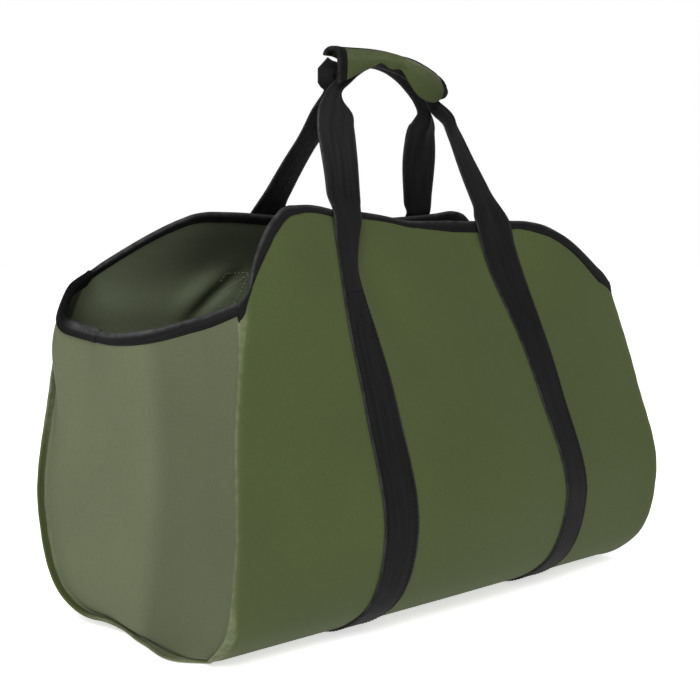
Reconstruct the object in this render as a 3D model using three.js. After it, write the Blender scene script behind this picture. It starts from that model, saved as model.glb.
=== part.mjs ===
// Log carrier: an open cloth bag whose two webbing handles are gathered in one wrapped grip.
// Millimetres, +Z up. X runs along the bag, the front faces -Y, and the origin is under its middle.

import * as THREE from 'three';

const FRONT = -1;
const BACK = 1;

// Thickness of the materials, and the clearance between pieces sewn to each other
const CLOTH = 1.6;
const TAPE = 1.0;
const WEBBING = 1.6;
const GAP = 0.3;
const SEAM_GAP = 0.5;

// Widths of the webbing, the folded binding tape and the seam allowance past an end panel
const WEBBING_WIDTH = 38;
const BINDING_DEPTH = 10;
const GRIP_BINDING_DEPTH = 9.5;
const SEAM_LIP = 5;
const BINDING_START = 9;

// Upright profile of each face, from the edge of the flat bottom up to the shoulder.
// depth is the distance from the middle plane, and halfLength is half the cloth's length there.
const BOTTOM = { depth: 71, halfLength: 275 };
const FRONT_PROFILE = [
  { depth: 71, height: 0, halfLength: 275 },
  { depth: 117, height: 23, halfLength: 285 },
  { depth: 138, height: 95, halfLength: 291 },
  { depth: 121, height: 195, halfLength: 274 },
  { depth: 101, height: 289, halfLength: 254 },
  { depth: 80, height: 363.5, halfLength: 250 },
];
const BACK_PROFILE = [
  { depth: 71, height: 0, halfLength: 275 },
  { depth: 117, height: 23, halfLength: 285 },
  { depth: 138, height: 95, halfLength: 291 },
  { depth: 126, height: 195, halfLength: 288 },
  { depth: 88, height: 303, halfLength: 281 },
  { depth: 36, height: 366, halfLength: 260 },
];
const TURN_ROW = 1;
const BELLY_ROW = 2;
const CORNER_ROW = 4;

// How far each top edge lies below the shoulder: it dips between the handles and falls to the
// corners. position is a fraction of the half length. The front's edge leans to its ends too.
const RIM_DROP = [
  { position: 0, frontLeft: 5.3, frontRight: 5.3, backLeft: 9.5, backRight: 9.5 },
  { position: 0.16, frontLeft: 3.4, frontRight: 3.4, backLeft: 7.5, backRight: 7.5 },
  { position: 0.3, frontLeft: 3.2, frontRight: 2, backLeft: 4.8, backRight: 4.8 },
  { position: 0.43, frontLeft: 5, frontRight: 1, backLeft: 1.9, backRight: 2 },
  { position: 0.5, frontLeft: 2.8, frontRight: 0.8, backLeft: 0.6, backRight: 0 },
  { position: 0.6, frontLeft: -0.3, frontRight: 2, backLeft: -0.2, backRight: -3.5 },
  { position: 0.68, frontLeft: -0.9, frontRight: 7.3, backLeft: 0.2, backRight: 1 },
  { position: 0.73, frontLeft: -0.8, frontRight: 13.9, backLeft: 3.3, backRight: 9 },
  { position: 0.76, frontLeft: 1.5, frontRight: 18.4, backLeft: 7.7, backRight: 14 },
  { position: 0.79, frontLeft: 6.3, frontRight: 23.7, backLeft: 12.8, backRight: 19 },
  { position: 0.825, frontLeft: 13, frontRight: 31, backLeft: 20.5, backRight: 26 },
  { position: 0.87, frontLeft: 26.2, frontRight: 41.4, backLeft: 33, backRight: 38 },
  { position: 0.91, frontLeft: 41.8, frontRight: 50.8, backLeft: 46, backRight: 48.5 },
  { position: 0.955, frontLeft: 64.3, frontRight: 60.3, backLeft: 61.5, backRight: 62 },
  { position: 1, frontLeft: 77.4, frontRight: 71, backLeft: 80, backRight: 80 },
];
const LEAN = { [FRONT]: { left: 8.5, right: 4.2 }, [BACK]: { left: 0, right: 0 } };

// The full belly, and how far the handles draw each top edge to the middle
const BELLY_OUT = 22;
const GATHER = [
  { position: 0, front: 36, back: 6 },
  { position: 0.28, front: 33, back: 5 },
  { position: 0.5, front: 13, back: 1 },
  { position: 0.75, front: 0, back: 0 },
  { position: 1, front: 0, back: 0 },
];

// Distance of each handle's webbing from the middle, as the face climbs from belly to shoulder
const STRAP_LINE = [
  { climb: 0, frontLeft: 119, frontRight: 130, backLeft: 119, backRight: 130 },
  { climb: 0.4, frontLeft: 119, frontRight: 116, backLeft: 113, backRight: 119 },
  { climb: 0.75, frontLeft: 116, frontRight: 105, backLeft: 101, backRight: 110 },
  { climb: 1, frontLeft: 102.5, frontRight: 106, backLeft: 102, backRight: 106 },
];

// End panels: how far the rim hangs from the front seam to the back seam, flare outwards, and a
// fold by the back corner
const END_SAG = [
  { across: -1, drop: 0 },
  { across: -0.8, drop: 10 },
  { across: -0.6, drop: 17 },
  { across: -0.4, drop: 23.5 },
  { across: 0, drop: 32.4 },
  { across: 0.25, drop: 35 },
  { across: 0.45, drop: 35.5 },
  { across: 0.6, drop: 34 },
  { across: 0.7, drop: 31 },
  { across: 0.8, drop: 21.5 },
  { across: 0.9, drop: 6 },
  { across: 1, drop: 0 },
];
const END_FLARE = 44;
const END_BULGE = 6;
const END_FOLD = { at: 0.76, width: 0.19, out: 25.5, fade: 0.12, from: 0.46, to: 1 };

// Handle routes from the left edge of the bag to the right. twist turns the webbing about its
// length and fold doubles it along its middle, in degrees. width is what is left of it in the grip.
const FRONT_HANDLE = [
  { x: -91, y: -54, z: 384, twist: 8, fold: 0, width: 38 },
  { x: -85, y: -44, z: 412, twist: 12, fold: 0, width: 38 },
  { x: -80, y: -33, z: 446, twist: 18, fold: 0, width: 38 },
  { x: -72.5, y: -27, z: 463, twist: 17, fold: 15, width: 38 },
  { x: -67, y: -21, z: 480, twist: 4, fold: 60, width: 29 },
  { x: -55, y: -22.8, z: 491, twist: 0, fold: 66, width: 26 },
  { x: -38, y: -21, z: 502, twist: 0, fold: 66, width: 26 },
  { x: -15, y: -18.5, z: 511.5, twist: 0, fold: 66, width: 26 },
  { x: 10, y: -20.5, z: 510, twist: 0, fold: 66, width: 26 },
  { x: 34, y: -21.5, z: 502.5, twist: 0, fold: 66, width: 26 },
  { x: 55, y: -22, z: 490.5, twist: 0, fold: 64, width: 27 },
  { x: 67.5, y: -20.6, z: 477, twist: -6, fold: 60, width: 26 },
  { x: 75, y: -33, z: 462, twist: -18, fold: 28, width: 34 },
  { x: 78, y: -37, z: 446, twist: -21, fold: 0, width: 38 },
  { x: 87, y: -46, z: 416, twist: -16, fold: 0, width: 38 },
  { x: 99, y: -55, z: 384, twist: -10, fold: 0, width: 38 },
];
const BACK_HANDLE = [
  { x: -99, y: 27, z: 386, twist: -16, fold: 0, width: 38 },
  { x: -88.5, y: 15.5, z: 414, twist: -20, fold: 0, width: 38 },
  { x: -76, y: 2.5, z: 444, twist: -23, fold: 0, width: 38 },
  { x: -63, y: -4, z: 464, twist: -16, fold: 28, width: 35 },
  { x: -56.5, y: -4.5, z: 483, twist: -6, fold: 62, width: 28 },
  { x: -59.5, y: -2.6, z: 498.5, twist: 0, fold: 44, width: 34 },
  { x: -38, y: -11, z: 502, twist: 0, fold: 66, width: 26 },
  { x: -15, y: -12.4, z: 511.5, twist: 0, fold: 66, width: 26 },
  { x: 10, y: -10.5, z: 510, twist: 0, fold: 66, width: 26 },
  { x: 34, y: -7, z: 502.5, twist: 0, fold: 66, width: 26 },
  { x: 51.5, y: -6.5, z: 491, twist: 2, fold: 66, width: 26 },
  { x: 63, y: -6, z: 481, twist: 6, fold: 64, width: 26 },
  { x: 71, y: -5.5, z: 470, twist: 10, fold: 57, width: 28 },
  { x: 74.5, y: -1, z: 458.5, twist: 12, fold: 38, width: 35 },
  { x: 76.5, y: 6, z: 447, twist: 15, fold: 18, width: 37 },
  { x: 86, y: 18, z: 422, twist: 20, fold: 0, width: 38 },
  { x: 98.5, y: 30.5, z: 386, twist: 9, fold: 0, width: 38 },
];
const HANDLE_STEPS = 44;

// Grip wrap: its ridge, how far its front and back stand, the lower edges of its two faces, and the
// height of its rounded top. Its right end turns in towards the webbing.
const GRIP = [
  { x: -75, ridge: 519, front: -31, back: -13, frontEdge: 486.5, backEdge: 513.2, round: 5 },
  {
    x: -75 + GRIP_BINDING_DEPTH,
    ridge: 519.3,
    front: -31,
    back: -12,
    frontEdge: 490,
    backEdge: 513,
    round: 5.5,
  },
  { x: -52, ridge: 520, front: -31, back: -7, frontEdge: 496, backEdge: 512, round: 7 },
  { x: -40, ridge: 520.8, front: -31, back: -2, frontEdge: 501, backEdge: 511, round: 8 },
  { x: -28, ridge: 521.4, front: -31, back: 0, frontEdge: 506, backEdge: 511, round: 8 },
  { x: -20, ridge: 521.6, front: -31, back: 0, frontEdge: 509, backEdge: 511, round: 8 },
  { x: -6, ridge: 521.4, front: -31, back: 0, frontEdge: 504.5, backEdge: 510.5, round: 8 },
  { x: 10, ridge: 520.3, front: -31, back: 0.5, frontEdge: 503.3, backEdge: 509.5, round: 8 },
  { x: 18, ridge: 519, front: -31, back: 1, frontEdge: 494, backEdge: 507.5, round: 8 },
  { x: 28, ridge: 517.2, front: -31, back: 1, frontEdge: 484.5, backEdge: 505, round: 8 },
  { x: 40, ridge: 514.4, front: -31, back: 3, frontEdge: 478.5, backEdge: 503, round: 8 },
  { x: 53, ridge: 510, front: -31, back: 2, frontEdge: 477, backEdge: 498, round: 8 },
  { x: 64, ridge: 505, front: -31, back: 1, frontEdge: 481, backEdge: 494, round: 8 },
  { x: 72, ridge: 499, front: -29.5, back: 0, frontEdge: 485, backEdge: 489.5, round: 7 },
];
const GRIP_EDGE_INSET = 0.1;
const GRIP_LEG_STEPS = 3;
const GRIP_TOP_STEPS = 6;

// Fineness of the cloth: rows up the girth of each face, and columns of half the length.
// A column lies at a fraction of the half length, or on the webbing, and shift moves it by
// millimetres, so that it follows the edge of the webbing or of a seam.
const BOTTOM_ROWS = 4;
const TURN_ROWS = 3;
const WALL_ROWS = 10;
const HALF_COLUMNS = [
  { along: 0.14, webbing: false, shift: 0 },
  { along: 0.27, webbing: false, shift: 0 },
  { along: 0.43, webbing: true, shift: -WEBBING_WIDTH / 2 },
  { along: 0.43, webbing: true, shift: 0 },
  { along: 0.43, webbing: true, shift: WEBBING_WIDTH / 2 },
  { along: 0.59, webbing: false, shift: 0 },
  { along: 0.66, webbing: false, shift: 0 },
  { along: 0.75, webbing: false, shift: 0 },
  { along: 0.84, webbing: false, shift: 0 },
  { along: 0.92, webbing: false, shift: 0 },
  { along: 1, webbing: false, shift: -BINDING_START },
  { along: 1, webbing: false, shift: -SEAM_LIP },
  { along: 1, webbing: false, shift: 0 },
];
const STRAP_COLUMN = 3;
const BINDING_COLUMN = 10;
const LIP_COLUMN = 11;

const BASE = WEBBING + GAP + CLOTH / 2;

const olive = { color: 0x4c5536, roughness: 0.85, metalness: 0 };
const paleOlive = { color: 0x6a7057, roughness: 0.85, metalness: 0 };
const black = { color: 0x242624, roughness: 0.8, metalness: 0 };

const clamp01 = (value) => Math.min(Math.max(value, 0), 1);
const smoothStep = (value) => value * value * (3 - 2 * value);

// Cubic through the knots whose slope at a knot comes from its two neighbours
function smooth(knots, values, at, startSlope) {
  const last = knots.length - 1;
  const slope = (i) => (values[i + 1] - values[i]) / (knots[i + 1] - knots[i]);
  const tangent = (i) => {
    if (i === 0) return startSlope ?? slope(0);
    if (i === last) return slope(last - 1);
    const before = knots[i] - knots[i - 1];
    const after = knots[i + 1] - knots[i];
    return (slope(i - 1) * after + slope(i) * before) / (before + after);
  };
  let i = 0;
  while (i < last - 1 && at >= knots[i + 1]) i += 1;
  const h = knots[i + 1] - knots[i];
  const t = (at - knots[i]) / h;
  const t2 = t * t;
  const t3 = t2 * t;
  return (2 * t3 - 3 * t2 + 1) * values[i] + (t3 - 2 * t2 + t) * h * tangent(i)
    + (3 * t2 - 2 * t3) * values[i + 1] + (t3 - t2) * h * tangent(i + 1);
}

// A face's table with the girth of each row, measured from the middle of the bottom
function measured(rows) {
  const girth = [BOTTOM.depth];
  for (let i = 1; i < rows.length; i += 1) {
    const run = Math.hypot(rows[i].depth - rows[i - 1].depth, rows[i].height - rows[i - 1].height);
    girth.push(girth[i - 1] + run);
  }
  const column = (name) => rows.map((row) => row[name]);
  return { girth, depth: column('depth'), height: column('height'), halfLength: column('halfLength') };
}

const PROFILE = { [FRONT]: measured(FRONT_PROFILE), [BACK]: measured(BACK_PROFILE) };
const columnOf = (table, name) => table.map((row) => row[name]);

// How far a girth is from the belly to the shoulder, 0 to 1
function climb(profile, girth) {
  const top = profile.girth.at(-1);
  return clamp01((girth - profile.girth[BELLY_ROW]) / (top - profile.girth[BELLY_ROW]));
}

function halfLengthAt(side, girth) {
  const profile = PROFILE[side];
  return girth <= BOTTOM.depth ? BOTTOM.halfLength : smooth(profile.girth, profile.halfLength, girth, 0);
}

// Name of a column that is given for each end of each face
const cornerName = (side, along) => (side === FRONT ? 'front' : 'back') + (along < 0 ? 'Left' : 'Right');

// Girth of the top edge at a fraction of the half length
function rimGirth(side, along) {
  const position = Math.min(Math.abs(along), 1);
  const drops = columnOf(RIM_DROP, cornerName(side, along));
  return PROFILE[side].girth.at(-1) - smooth(columnOf(RIM_DROP, 'position'), drops, position, 0);
}

// Place of a column along X, at a girth of one face
function columnX(side, column, girth) {
  if (!column.webbing) return column.along * halfLengthAt(side, girth) + column.shift;
  const distances = columnOf(STRAP_LINE, cornerName(side, column.along));
  const distance = smooth(columnOf(STRAP_LINE, 'climb'), distances, climb(PROFILE[side], girth));
  return Math.sign(column.along) * distance + column.shift;
}

// A point of the sling's middle surface
function slingPoint(side, column, girth) {
  const profile = PROFILE[side];
  const half = halfLengthAt(side, girth);
  const up = climb(profile, girth);
  const x = columnX(side, column, girth);
  if (girth <= BOTTOM.depth) return new THREE.Vector3(x, side * girth, BASE);
  const position = Math.min(Math.abs(x / half), 1);
  const low = clamp01((girth - BOTTOM.depth) / (profile.girth[BELLY_ROW] - BOTTOM.depth));
  const across = Math.cos(position * Math.PI / 2) ** 2;
  const belly = BELLY_OUT * across * smoothStep(low) * (1 - smoothStep(up));
  const pull = columnOf(GATHER, side === FRONT ? 'front' : 'back');
  const gather = smooth(columnOf(GATHER, 'position'), pull, position) * up * up;
  const depth = smooth(profile.girth, profile.depth, girth, 1) + belly - gather;
  const lean = x < 0 ? LEAN[side].left : LEAN[side].right;
  const tilt = lean * Math.sin(Math.PI * x / half) * up * up;
  const height = smooth(profile.girth, profile.height, girth, 0) - tilt;
  return new THREE.Vector3(x, side * depth, BASE + height);
}

// Girths of the rows of one column, from the middle of the bottom to the top edge
function rowGirths(side, column) {
  const turn = PROFILE[side].girth[TURN_ROW];
  let rim = rimGirth(side, column.along);
  for (let pass = 0; pass < 3; pass += 1) {
    rim = rimGirth(side, columnX(side, column, rim) / halfLengthAt(side, rim));
  }
  const girths = [];
  const spread = (from, to, steps) => {
    for (let i = 1; i <= steps; i += 1) girths.push(from + (to - from) * i / steps);
  };
  spread(0, BOTTOM.depth, BOTTOM_ROWS);
  spread(BOTTOM.depth, turn, TURN_ROWS);
  spread(turn, rim - BINDING_DEPTH, WALL_ROWS);
  girths.push(rim);
  return girths;
}

// Normals of a grid of points, by the differences of their neighbours
function gridNormals(grid) {
  const rows = grid.length;
  const columns = grid[0].length;
  return grid.map((row, i) => row.map((point, j) => {
    const across = row[Math.min(j + 1, columns - 1)].clone().sub(row[Math.max(j - 1, 0)]);
    const down = grid[Math.min(i + 1, rows - 1)][j].clone().sub(grid[Math.max(i - 1, 0)][j]);
    return down.cross(across).normalize();
  }));
}

const offsetPoint = (point, normal, distance) => point.clone().addScaledVector(normal, distance);

function offsetGrid(grid, normals, distance) {
  return grid.map((row, i) => row.map((point, j) => offsetPoint(point, normals[i][j], distance)));
}

// A named mesh from vertices and triangles, turned outwards if it was wound inwards
function solid(name, points, triangles, look) {
  let volume = 0;
  for (const [a, b, c] of triangles) volume += points[a].dot(points[b].clone().cross(points[c]));
  const index = triangles.flatMap(([a, b, c]) => (volume > 0 ? [a, b, c] : [a, c, b]));
  const geometry = new THREE.BufferGeometry().setFromPoints(points);
  geometry.setIndex(index);
  geometry.computeVertexNormals();
  const mesh = new THREE.Mesh(geometry, new THREE.MeshStandardMaterial(look));
  mesh.name = name;
  return mesh;
}

// The two triangles of a quad, cut along its shorter diagonal
function halves(points, a, b, c, d) {
  const short = points[a].distanceTo(points[c]) <= points[b].distanceTo(points[d]);
  return short ? [[a, b, c], [a, c, d]] : [[a, b, d], [b, c, d]];
}

// Closed wall between two matching grids
function wall(name, outer, inner, look) {
  const rows = outer.length;
  const columns = outer[0].length;
  const points = [...outer.flat(), ...inner.flat()];
  const at = (layer, i, j) => layer * rows * columns + i * columns + j;
  const triangles = [];
  const quad = (a, b, c, d) => triangles.push(...halves(points, a, b, c, d));
  for (let i = 0; i < rows - 1; i += 1) {
    for (let j = 0; j < columns - 1; j += 1) {
      quad(at(0, i, j), at(0, i + 1, j), at(0, i + 1, j + 1), at(0, i, j + 1));
      quad(at(1, i, j), at(1, i, j + 1), at(1, i + 1, j + 1), at(1, i + 1, j));
    }
  }
  for (let i = 0; i < rows - 1; i += 1) {
    const end = columns - 1;
    quad(at(0, i, 0), at(1, i, 0), at(1, i + 1, 0), at(0, i + 1, 0));
    quad(at(0, i, end), at(0, i + 1, end), at(1, i + 1, end), at(1, i, end));
  }
  for (let j = 0; j < columns - 1; j += 1) {
    const end = rows - 1;
    quad(at(0, 0, j), at(0, 0, j + 1), at(1, 0, j + 1), at(1, 0, j));
    quad(at(0, end, j), at(1, end, j), at(1, end, j + 1), at(0, end, j + 1));
  }
  return solid(name, points, triangles, look);
}

// Closed solid through a run of sections that share one outline; cap lists the triangles of an end
function skin(name, sections, cap, look) {
  const count = sections[0].length;
  const points = sections.flat();
  const triangles = [];
  for (let i = 0; i < sections.length - 1; i += 1) {
    for (let k = 0; k < count; k += 1) {
      const a = i * count + k;
      const b = i * count + (k + 1) % count;
      triangles.push(...halves(points, a, b, b + count, a + count));
    }
  }
  const last = (sections.length - 1) * count;
  for (const [a, b, c] of cap) {
    triangles.push([a, c, b], [last + a, last + b, last + c]);
  }
  return solid(name, points, triangles, look);
}

// Tape folded over a cloth edge: a channel from the edge down to a line inside it.
// edge and inside each hold the points and the normals of one line.
function binding(name, edge, inside, look) {
  const near = CLOTH / 2 + GAP;
  const far = near + TAPE;
  const sections = edge.points.map((top, j) => {
    const up = top.clone().sub(inside.points[j]).normalize();
    const high = (side, rise) => offsetPoint(top, edge.normals[j], side).addScaledVector(up, rise);
    const low = (side) => offsetPoint(inside.points[j], inside.normals[j], side);
    return [
      low(far),
      high(far, GAP + TAPE),
      high(-far, GAP + TAPE),
      low(-far),
      low(-near),
      high(-near, GAP),
      high(near, GAP),
      low(near),
    ];
  });
  const cap = [[0, 1, 6], [0, 6, 7], [1, 2, 5], [1, 5, 6], [2, 3, 4], [2, 4, 5]];
  return skin(name, sections, cap, look);
}

// The sling: rows from the front edge under the bottom to the back edge, columns along X
const middleColumn = { along: 0, webbing: false, shift: 0 };
const mirror = ({ along, webbing, shift }) => ({ along: -along, webbing, shift: -shift });
const COLUMNS = [...HALF_COLUMNS.map(mirror).reverse(), middleColumn, ...HALF_COLUMNS];
const MIDDLE = HALF_COLUMNS.length;
const FACE_ROWS = BOTTOM_ROWS + TURN_ROWS + WALL_ROWS + 1;
const ROWS = 2 * FACE_ROWS + 1;

function slingGrid() {
  const grid = Array.from({ length: ROWS }, () => []);
  COLUMNS.forEach((column, j) => {
    grid[FACE_ROWS][j] = slingPoint(FRONT, column, 0);
    for (const side of [FRONT, BACK]) {
      rowGirths(side, column).forEach((girth, k) => {
        grid[FACE_ROWS + side * (k + 1)][j] = slingPoint(side, column, girth);
      });
    }
  });
  return grid;
}

const sling = slingGrid();
const slingNormals = gridNormals(sling);

function slingPanel() {
  const outer = offsetGrid(sling, slingNormals, CLOTH / 2);
  const inner = offsetGrid(sling, slingNormals, -CLOTH / 2);
  return wall('sling_panel', outer, inner, olive);
}

function rimBinding(name, side) {
  const rim = FACE_ROWS + side * FACE_ROWS;
  const first = MIDDLE - BINDING_COLUMN - 1;
  const last = MIDDLE + BINDING_COLUMN + 2;
  const cut = (grid, row) => grid[row].slice(first, last);
  const line = (row) => ({ points: cut(sling, row), normals: cut(slingNormals, row) });
  return binding(name, line(rim), line(rim - side), black);
}

// An end panel: lines across from the front seam to the back seam, from the bottom up to the rim
function endGrid(end) {
  const lip = MIDDLE + end * (LIP_COLUMN + 1);
  const seam = (row) => offsetPoint(sling[row][lip], slingNormals[row][lip], -CLOTH / 2 - SEAM_GAP);
  const spans = FACE_ROWS - BOTTOM_ROWS;
  const columns = 2 * BOTTOM_ROWS;
  const grid = [];
  for (let i = 0; i <= spans; i += 1) {
    const front = seam(FACE_ROWS - BOTTOM_ROWS - i);
    const back = seam(FACE_ROWS + BOTTOM_ROWS + i);
    const rise = (front.z + back.z - 2 * BASE) / 2 / FRONT_PROFILE[CORNER_ROW].height;
    const row = [];
    for (let j = 0; j <= columns; j += 1) {
      const q = 2 * j / columns - 1;
      if (i === 0) {
        row.push(seam(FACE_ROWS - BOTTOM_ROWS + j));
      } else {
        const slack = 1 - q * q;
        const bump = Math.exp(-(((q - END_FOLD.at) / END_FOLD.width) ** 2));
        const grown = smoothStep(clamp01((rise - END_FOLD.from) / (END_FOLD.to - END_FOLD.from)));
        const fold = END_FOLD.out * bump * clamp01((1 - Math.abs(q)) / END_FOLD.fade) * grown;
        const point = front.clone().lerp(back, j / columns);
        point.x += end * (slack * (END_FLARE * rise ** 3 + END_BULGE * rise * (1 - rise)) + fold);
        point.z -= smooth(columnOf(END_SAG, 'across'), columnOf(END_SAG, 'drop'), q) * rise ** 3;
        row.push(point);
      }
    }
    grid.push(row);
  }
  return grid;
}

// Normals of an end panel, turned along the sling where the two are sewn together
function endNormals(grid, end) {
  const lip = MIDDLE + end * (LIP_COLUMN + 1);
  const along = (normal, row) => {
    const across = slingNormals[row][lip];
    return normal.addScaledVector(across, -normal.dot(across)).normalize();
  };
  return gridNormals(grid).map((row, i) => row.map((normal, j) => {
    if (i === 0) return along(normal, FACE_ROWS - BOTTOM_ROWS + j);
    if (j === 0) return along(normal, FACE_ROWS - BOTTOM_ROWS - i);
    if (j === row.length - 1) return along(normal, FACE_ROWS + BOTTOM_ROWS + i);
    return normal;
  }));
}

function endPieces(name, end) {
  const grid = endGrid(end);
  const normals = endNormals(grid, end);
  const panel = wall(
    `end_panel_${name}`,
    offsetGrid(grid, normals, CLOTH / 2),
    offsetGrid(grid, normals, -CLOTH / 2),
    paleOlive,
  );
  const line = (row) => ({ points: grid.at(row), normals: normals.at(row) });
  return [panel, binding(`end_rim_binding_${name}`, line(-1), line(-2), black)];
}

// Webbing on a face of the bag: sections of outer edge, middle and inner edge, on both faces
function faceSections(side, end) {
  const centre = MIDDLE + end * (STRAP_COLUMN + 1);
  const sections = [];
  for (let k = 0; k <= FACE_ROWS; k += 1) {
    const row = FACE_ROWS + side * k;
    const overBinding = k >= FACE_ROWS - 1 ? TAPE + GAP : 0;
    const near = CLOTH / 2 + GAP + overBinding;
    const place = (j, distance) => {
      const point = offsetPoint(sling[row][j], slingNormals[row][j], distance);
      if (k === 0) point.y += side * GAP / 2;
      if (k === FACE_ROWS) point.z += TAPE + 3 * GAP;
      return point;
    };
    const across = [centre + end, centre, centre - end];
    const outside = across.map((j) => place(j, near + WEBBING));
    const inside = across.map((j) => place(j, near));
    sections.push(side === FRONT ? [outside, inside] : [inside, outside]);
  }
  return sections.map(([first, second]) => [...first, ...second.reverse()]);
}

// Webbing free of the bag: it folds along its middle, open to the back, where it enters the grip,
// and its route is halfway down the fold
function handleSections(table) {
  const route = table.map(({ x, y, z }) => new THREE.Vector3(x, y, z));
  const curve = new THREE.CatmullRomCurve3(route, false, 'centripetal');
  const stations = table.map((row, i) => i / (table.length - 1));
  const twists = table.map((row) => THREE.MathUtils.degToRad(row.twist));
  const folds = table.map((row) => THREE.MathUtils.degToRad(row.fold));
  const widths = table.map((row) => row.width);
  const sections = [];
  for (let i = 0; i <= HANDLE_STEPS; i += 1) {
    const t = i / HANDLE_STEPS;
    const middle = curve.getPoint(t);
    const tangent = curve.getTangent(t);
    const twist = smooth(stations, twists, t);
    const open = new THREE.Vector3(Math.sin(twist), Math.cos(twist), 0);
    open.addScaledVector(tangent, -open.dot(tangent)).normalize();
    const outwards = tangent.clone().cross(open);
    const fold = smooth(stations, folds, t);
    const half = smooth(stations, widths, t) / 2;
    const place = (edge, thickness) => {
      const bend = Math.abs(edge);
      const point = middle.clone();
      point.addScaledVector(outwards, edge * (half * Math.cos(fold) + thickness * Math.sin(fold)));
      const folded = half * Math.sin(fold);
      point.addScaledVector(open, bend * (folded - thickness * Math.cos(fold)) - folded / 2);
      return point.addScaledVector(open, -(1 - bend) * thickness / Math.cos(fold));
    };
    const outside = [1, 0, -1].map((edge) => place(edge, WEBBING / 2));
    const inside = [-1, 0, 1].map((edge) => place(edge, -WEBBING / 2));
    sections.push([...outside, ...inside]);
  }
  return sections;
}

function strap(name, side, table) {
  const sections = [
    ...faceSections(side, -1),
    ...handleSections(table),
    ...faceSections(side, 1).reverse(),
  ];
  const cap = [[0, 1, 5], [1, 4, 5], [1, 2, 4], [2, 3, 4]];
  return skin(name, sections, cap, black);
}

// The wrap: up its front face, over the ridge and down its back face, at each row of the table
function gripGrid() {
  return GRIP.map(({ x, ridge, front, back, frontEdge, backEdge, round }) => {
    const row = [];
    const centre = (front + back) / 2;
    const half = (back - front) / 2;
    const spring = ridge - round;
    for (let k = 0; k < GRIP_LEG_STEPS; k += 1) {
      const z = frontEdge + (spring - frontEdge) * k / GRIP_LEG_STEPS;
      row.push(new THREE.Vector3(x, front, z));
    }
    for (let k = 0; k <= GRIP_TOP_STEPS; k += 1) {
      const angle = Math.PI * k / GRIP_TOP_STEPS;
      const y = centre - half * Math.cos(angle);
      row.push(new THREE.Vector3(x, y, spring + round * Math.sin(angle)));
    }
    for (let k = 1; k <= GRIP_LEG_STEPS; k += 1) {
      const z = spring + (backEdge - spring) * k / GRIP_LEG_STEPS;
      row.push(new THREE.Vector3(x, back, z));
    }
    return row;
  });
}

function gripPieces() {
  const grid = gripGrid();
  const normals = gridNormals(grid);
  const wrap = wall(
    'handle_grip',
    offsetGrid(grid, normals, CLOTH / 2),
    offsetGrid(grid, normals, -CLOTH / 2),
    olive,
  );
  const line = (row) => ({ points: grid.at(row), normals: normals.at(row) });
  const left = binding('grip_binding_left', line(0), line(1), black);
  const right = binding('grip_binding_right', line(-1), line(-2), black);
  const ridge = GRIP_LEG_STEPS + GRIP_TOP_STEPS / 2;
  const strip = (rows) => {
    const cut = rows.slice(1, -1).map((row) => row.slice(ridge, ridge + 2).map((value) => value.clone()));
    const shorten = (end, next) => end.forEach((value, k) => value.lerp(next[k], GRIP_EDGE_INSET));
    shorten(cut[0], cut[1]);
    shorten(cut.at(-1), cut.at(-2));
    return cut;
  };
  const edgeGrid = strip(grid);
  const edgeNormals = strip(normals);
  const near = CLOTH / 2 + GAP;
  const edge = wall(
    'grip_edge_binding',
    offsetGrid(edgeGrid, edgeNormals, near + TAPE),
    offsetGrid(edgeGrid, edgeNormals, near),
    black,
  );
  return [wrap, left, right, edge];
}

const carrier = new THREE.Group();
carrier.add(
  slingPanel(),
  ...endPieces('left', -1),
  ...endPieces('right', 1),
  rimBinding('front_rim_binding', FRONT),
  rimBinding('back_rim_binding', BACK),
  strap('front_strap', FRONT, FRONT_HANDLE),
  strap('back_strap', BACK, BACK_HANDLE),
  ...gripPieces(),
);

export default carrier;
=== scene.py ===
"""Log carrier: an open cloth bag with bound rims, whose two webbing handles meet in one wrapped grip.

Shapes are worked out in millimetres. X runs along the bag, the front faces -Y, +Z is up and the origin is
on the floor under the middle of the bag. A mesh is scaled to metres when it is made.
"""

from math import pi, radians

import bpy
import numpy as np
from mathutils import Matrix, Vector


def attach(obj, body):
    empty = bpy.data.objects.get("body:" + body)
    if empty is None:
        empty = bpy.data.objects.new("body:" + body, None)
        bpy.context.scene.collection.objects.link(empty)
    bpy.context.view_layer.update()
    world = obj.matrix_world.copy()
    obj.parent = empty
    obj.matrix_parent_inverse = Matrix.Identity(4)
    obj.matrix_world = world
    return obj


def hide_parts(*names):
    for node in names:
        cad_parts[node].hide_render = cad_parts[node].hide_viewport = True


bl_info = {
    "name": "Log Carrier",
    "version": (1, 0, 0),
    "blender": (4, 5, 0),
    "location": "View3D > Sidebar > Log Carrier",
    "description": "Builds an open cloth log carrier with bound rims and webbing handles",
    "category": "Add Mesh",
}

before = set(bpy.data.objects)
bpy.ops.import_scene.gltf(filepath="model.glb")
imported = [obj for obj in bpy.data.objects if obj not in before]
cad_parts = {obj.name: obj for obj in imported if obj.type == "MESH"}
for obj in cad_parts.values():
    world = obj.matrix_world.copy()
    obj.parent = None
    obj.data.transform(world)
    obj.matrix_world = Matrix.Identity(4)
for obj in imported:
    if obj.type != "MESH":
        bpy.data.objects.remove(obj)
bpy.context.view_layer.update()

MM = 0.001
FRONT, BACK = -1, 1
LEFT, RIGHT = -1, 1

# Clearances between sewn pieces, the bottom cloth's height over the floor, and the canvas's thickness
GAP = 0.3
SEAM_GAP = 0.5
TAPE_GAP = 0.1
STRAP_GAP = 0.15
STRAP_OVER_TAPE = 0.6
BASE = 2.7
CLOTH = 1.6

# In all that follows, a pair named RANGE is where something eases in, from its start to its end

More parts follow.
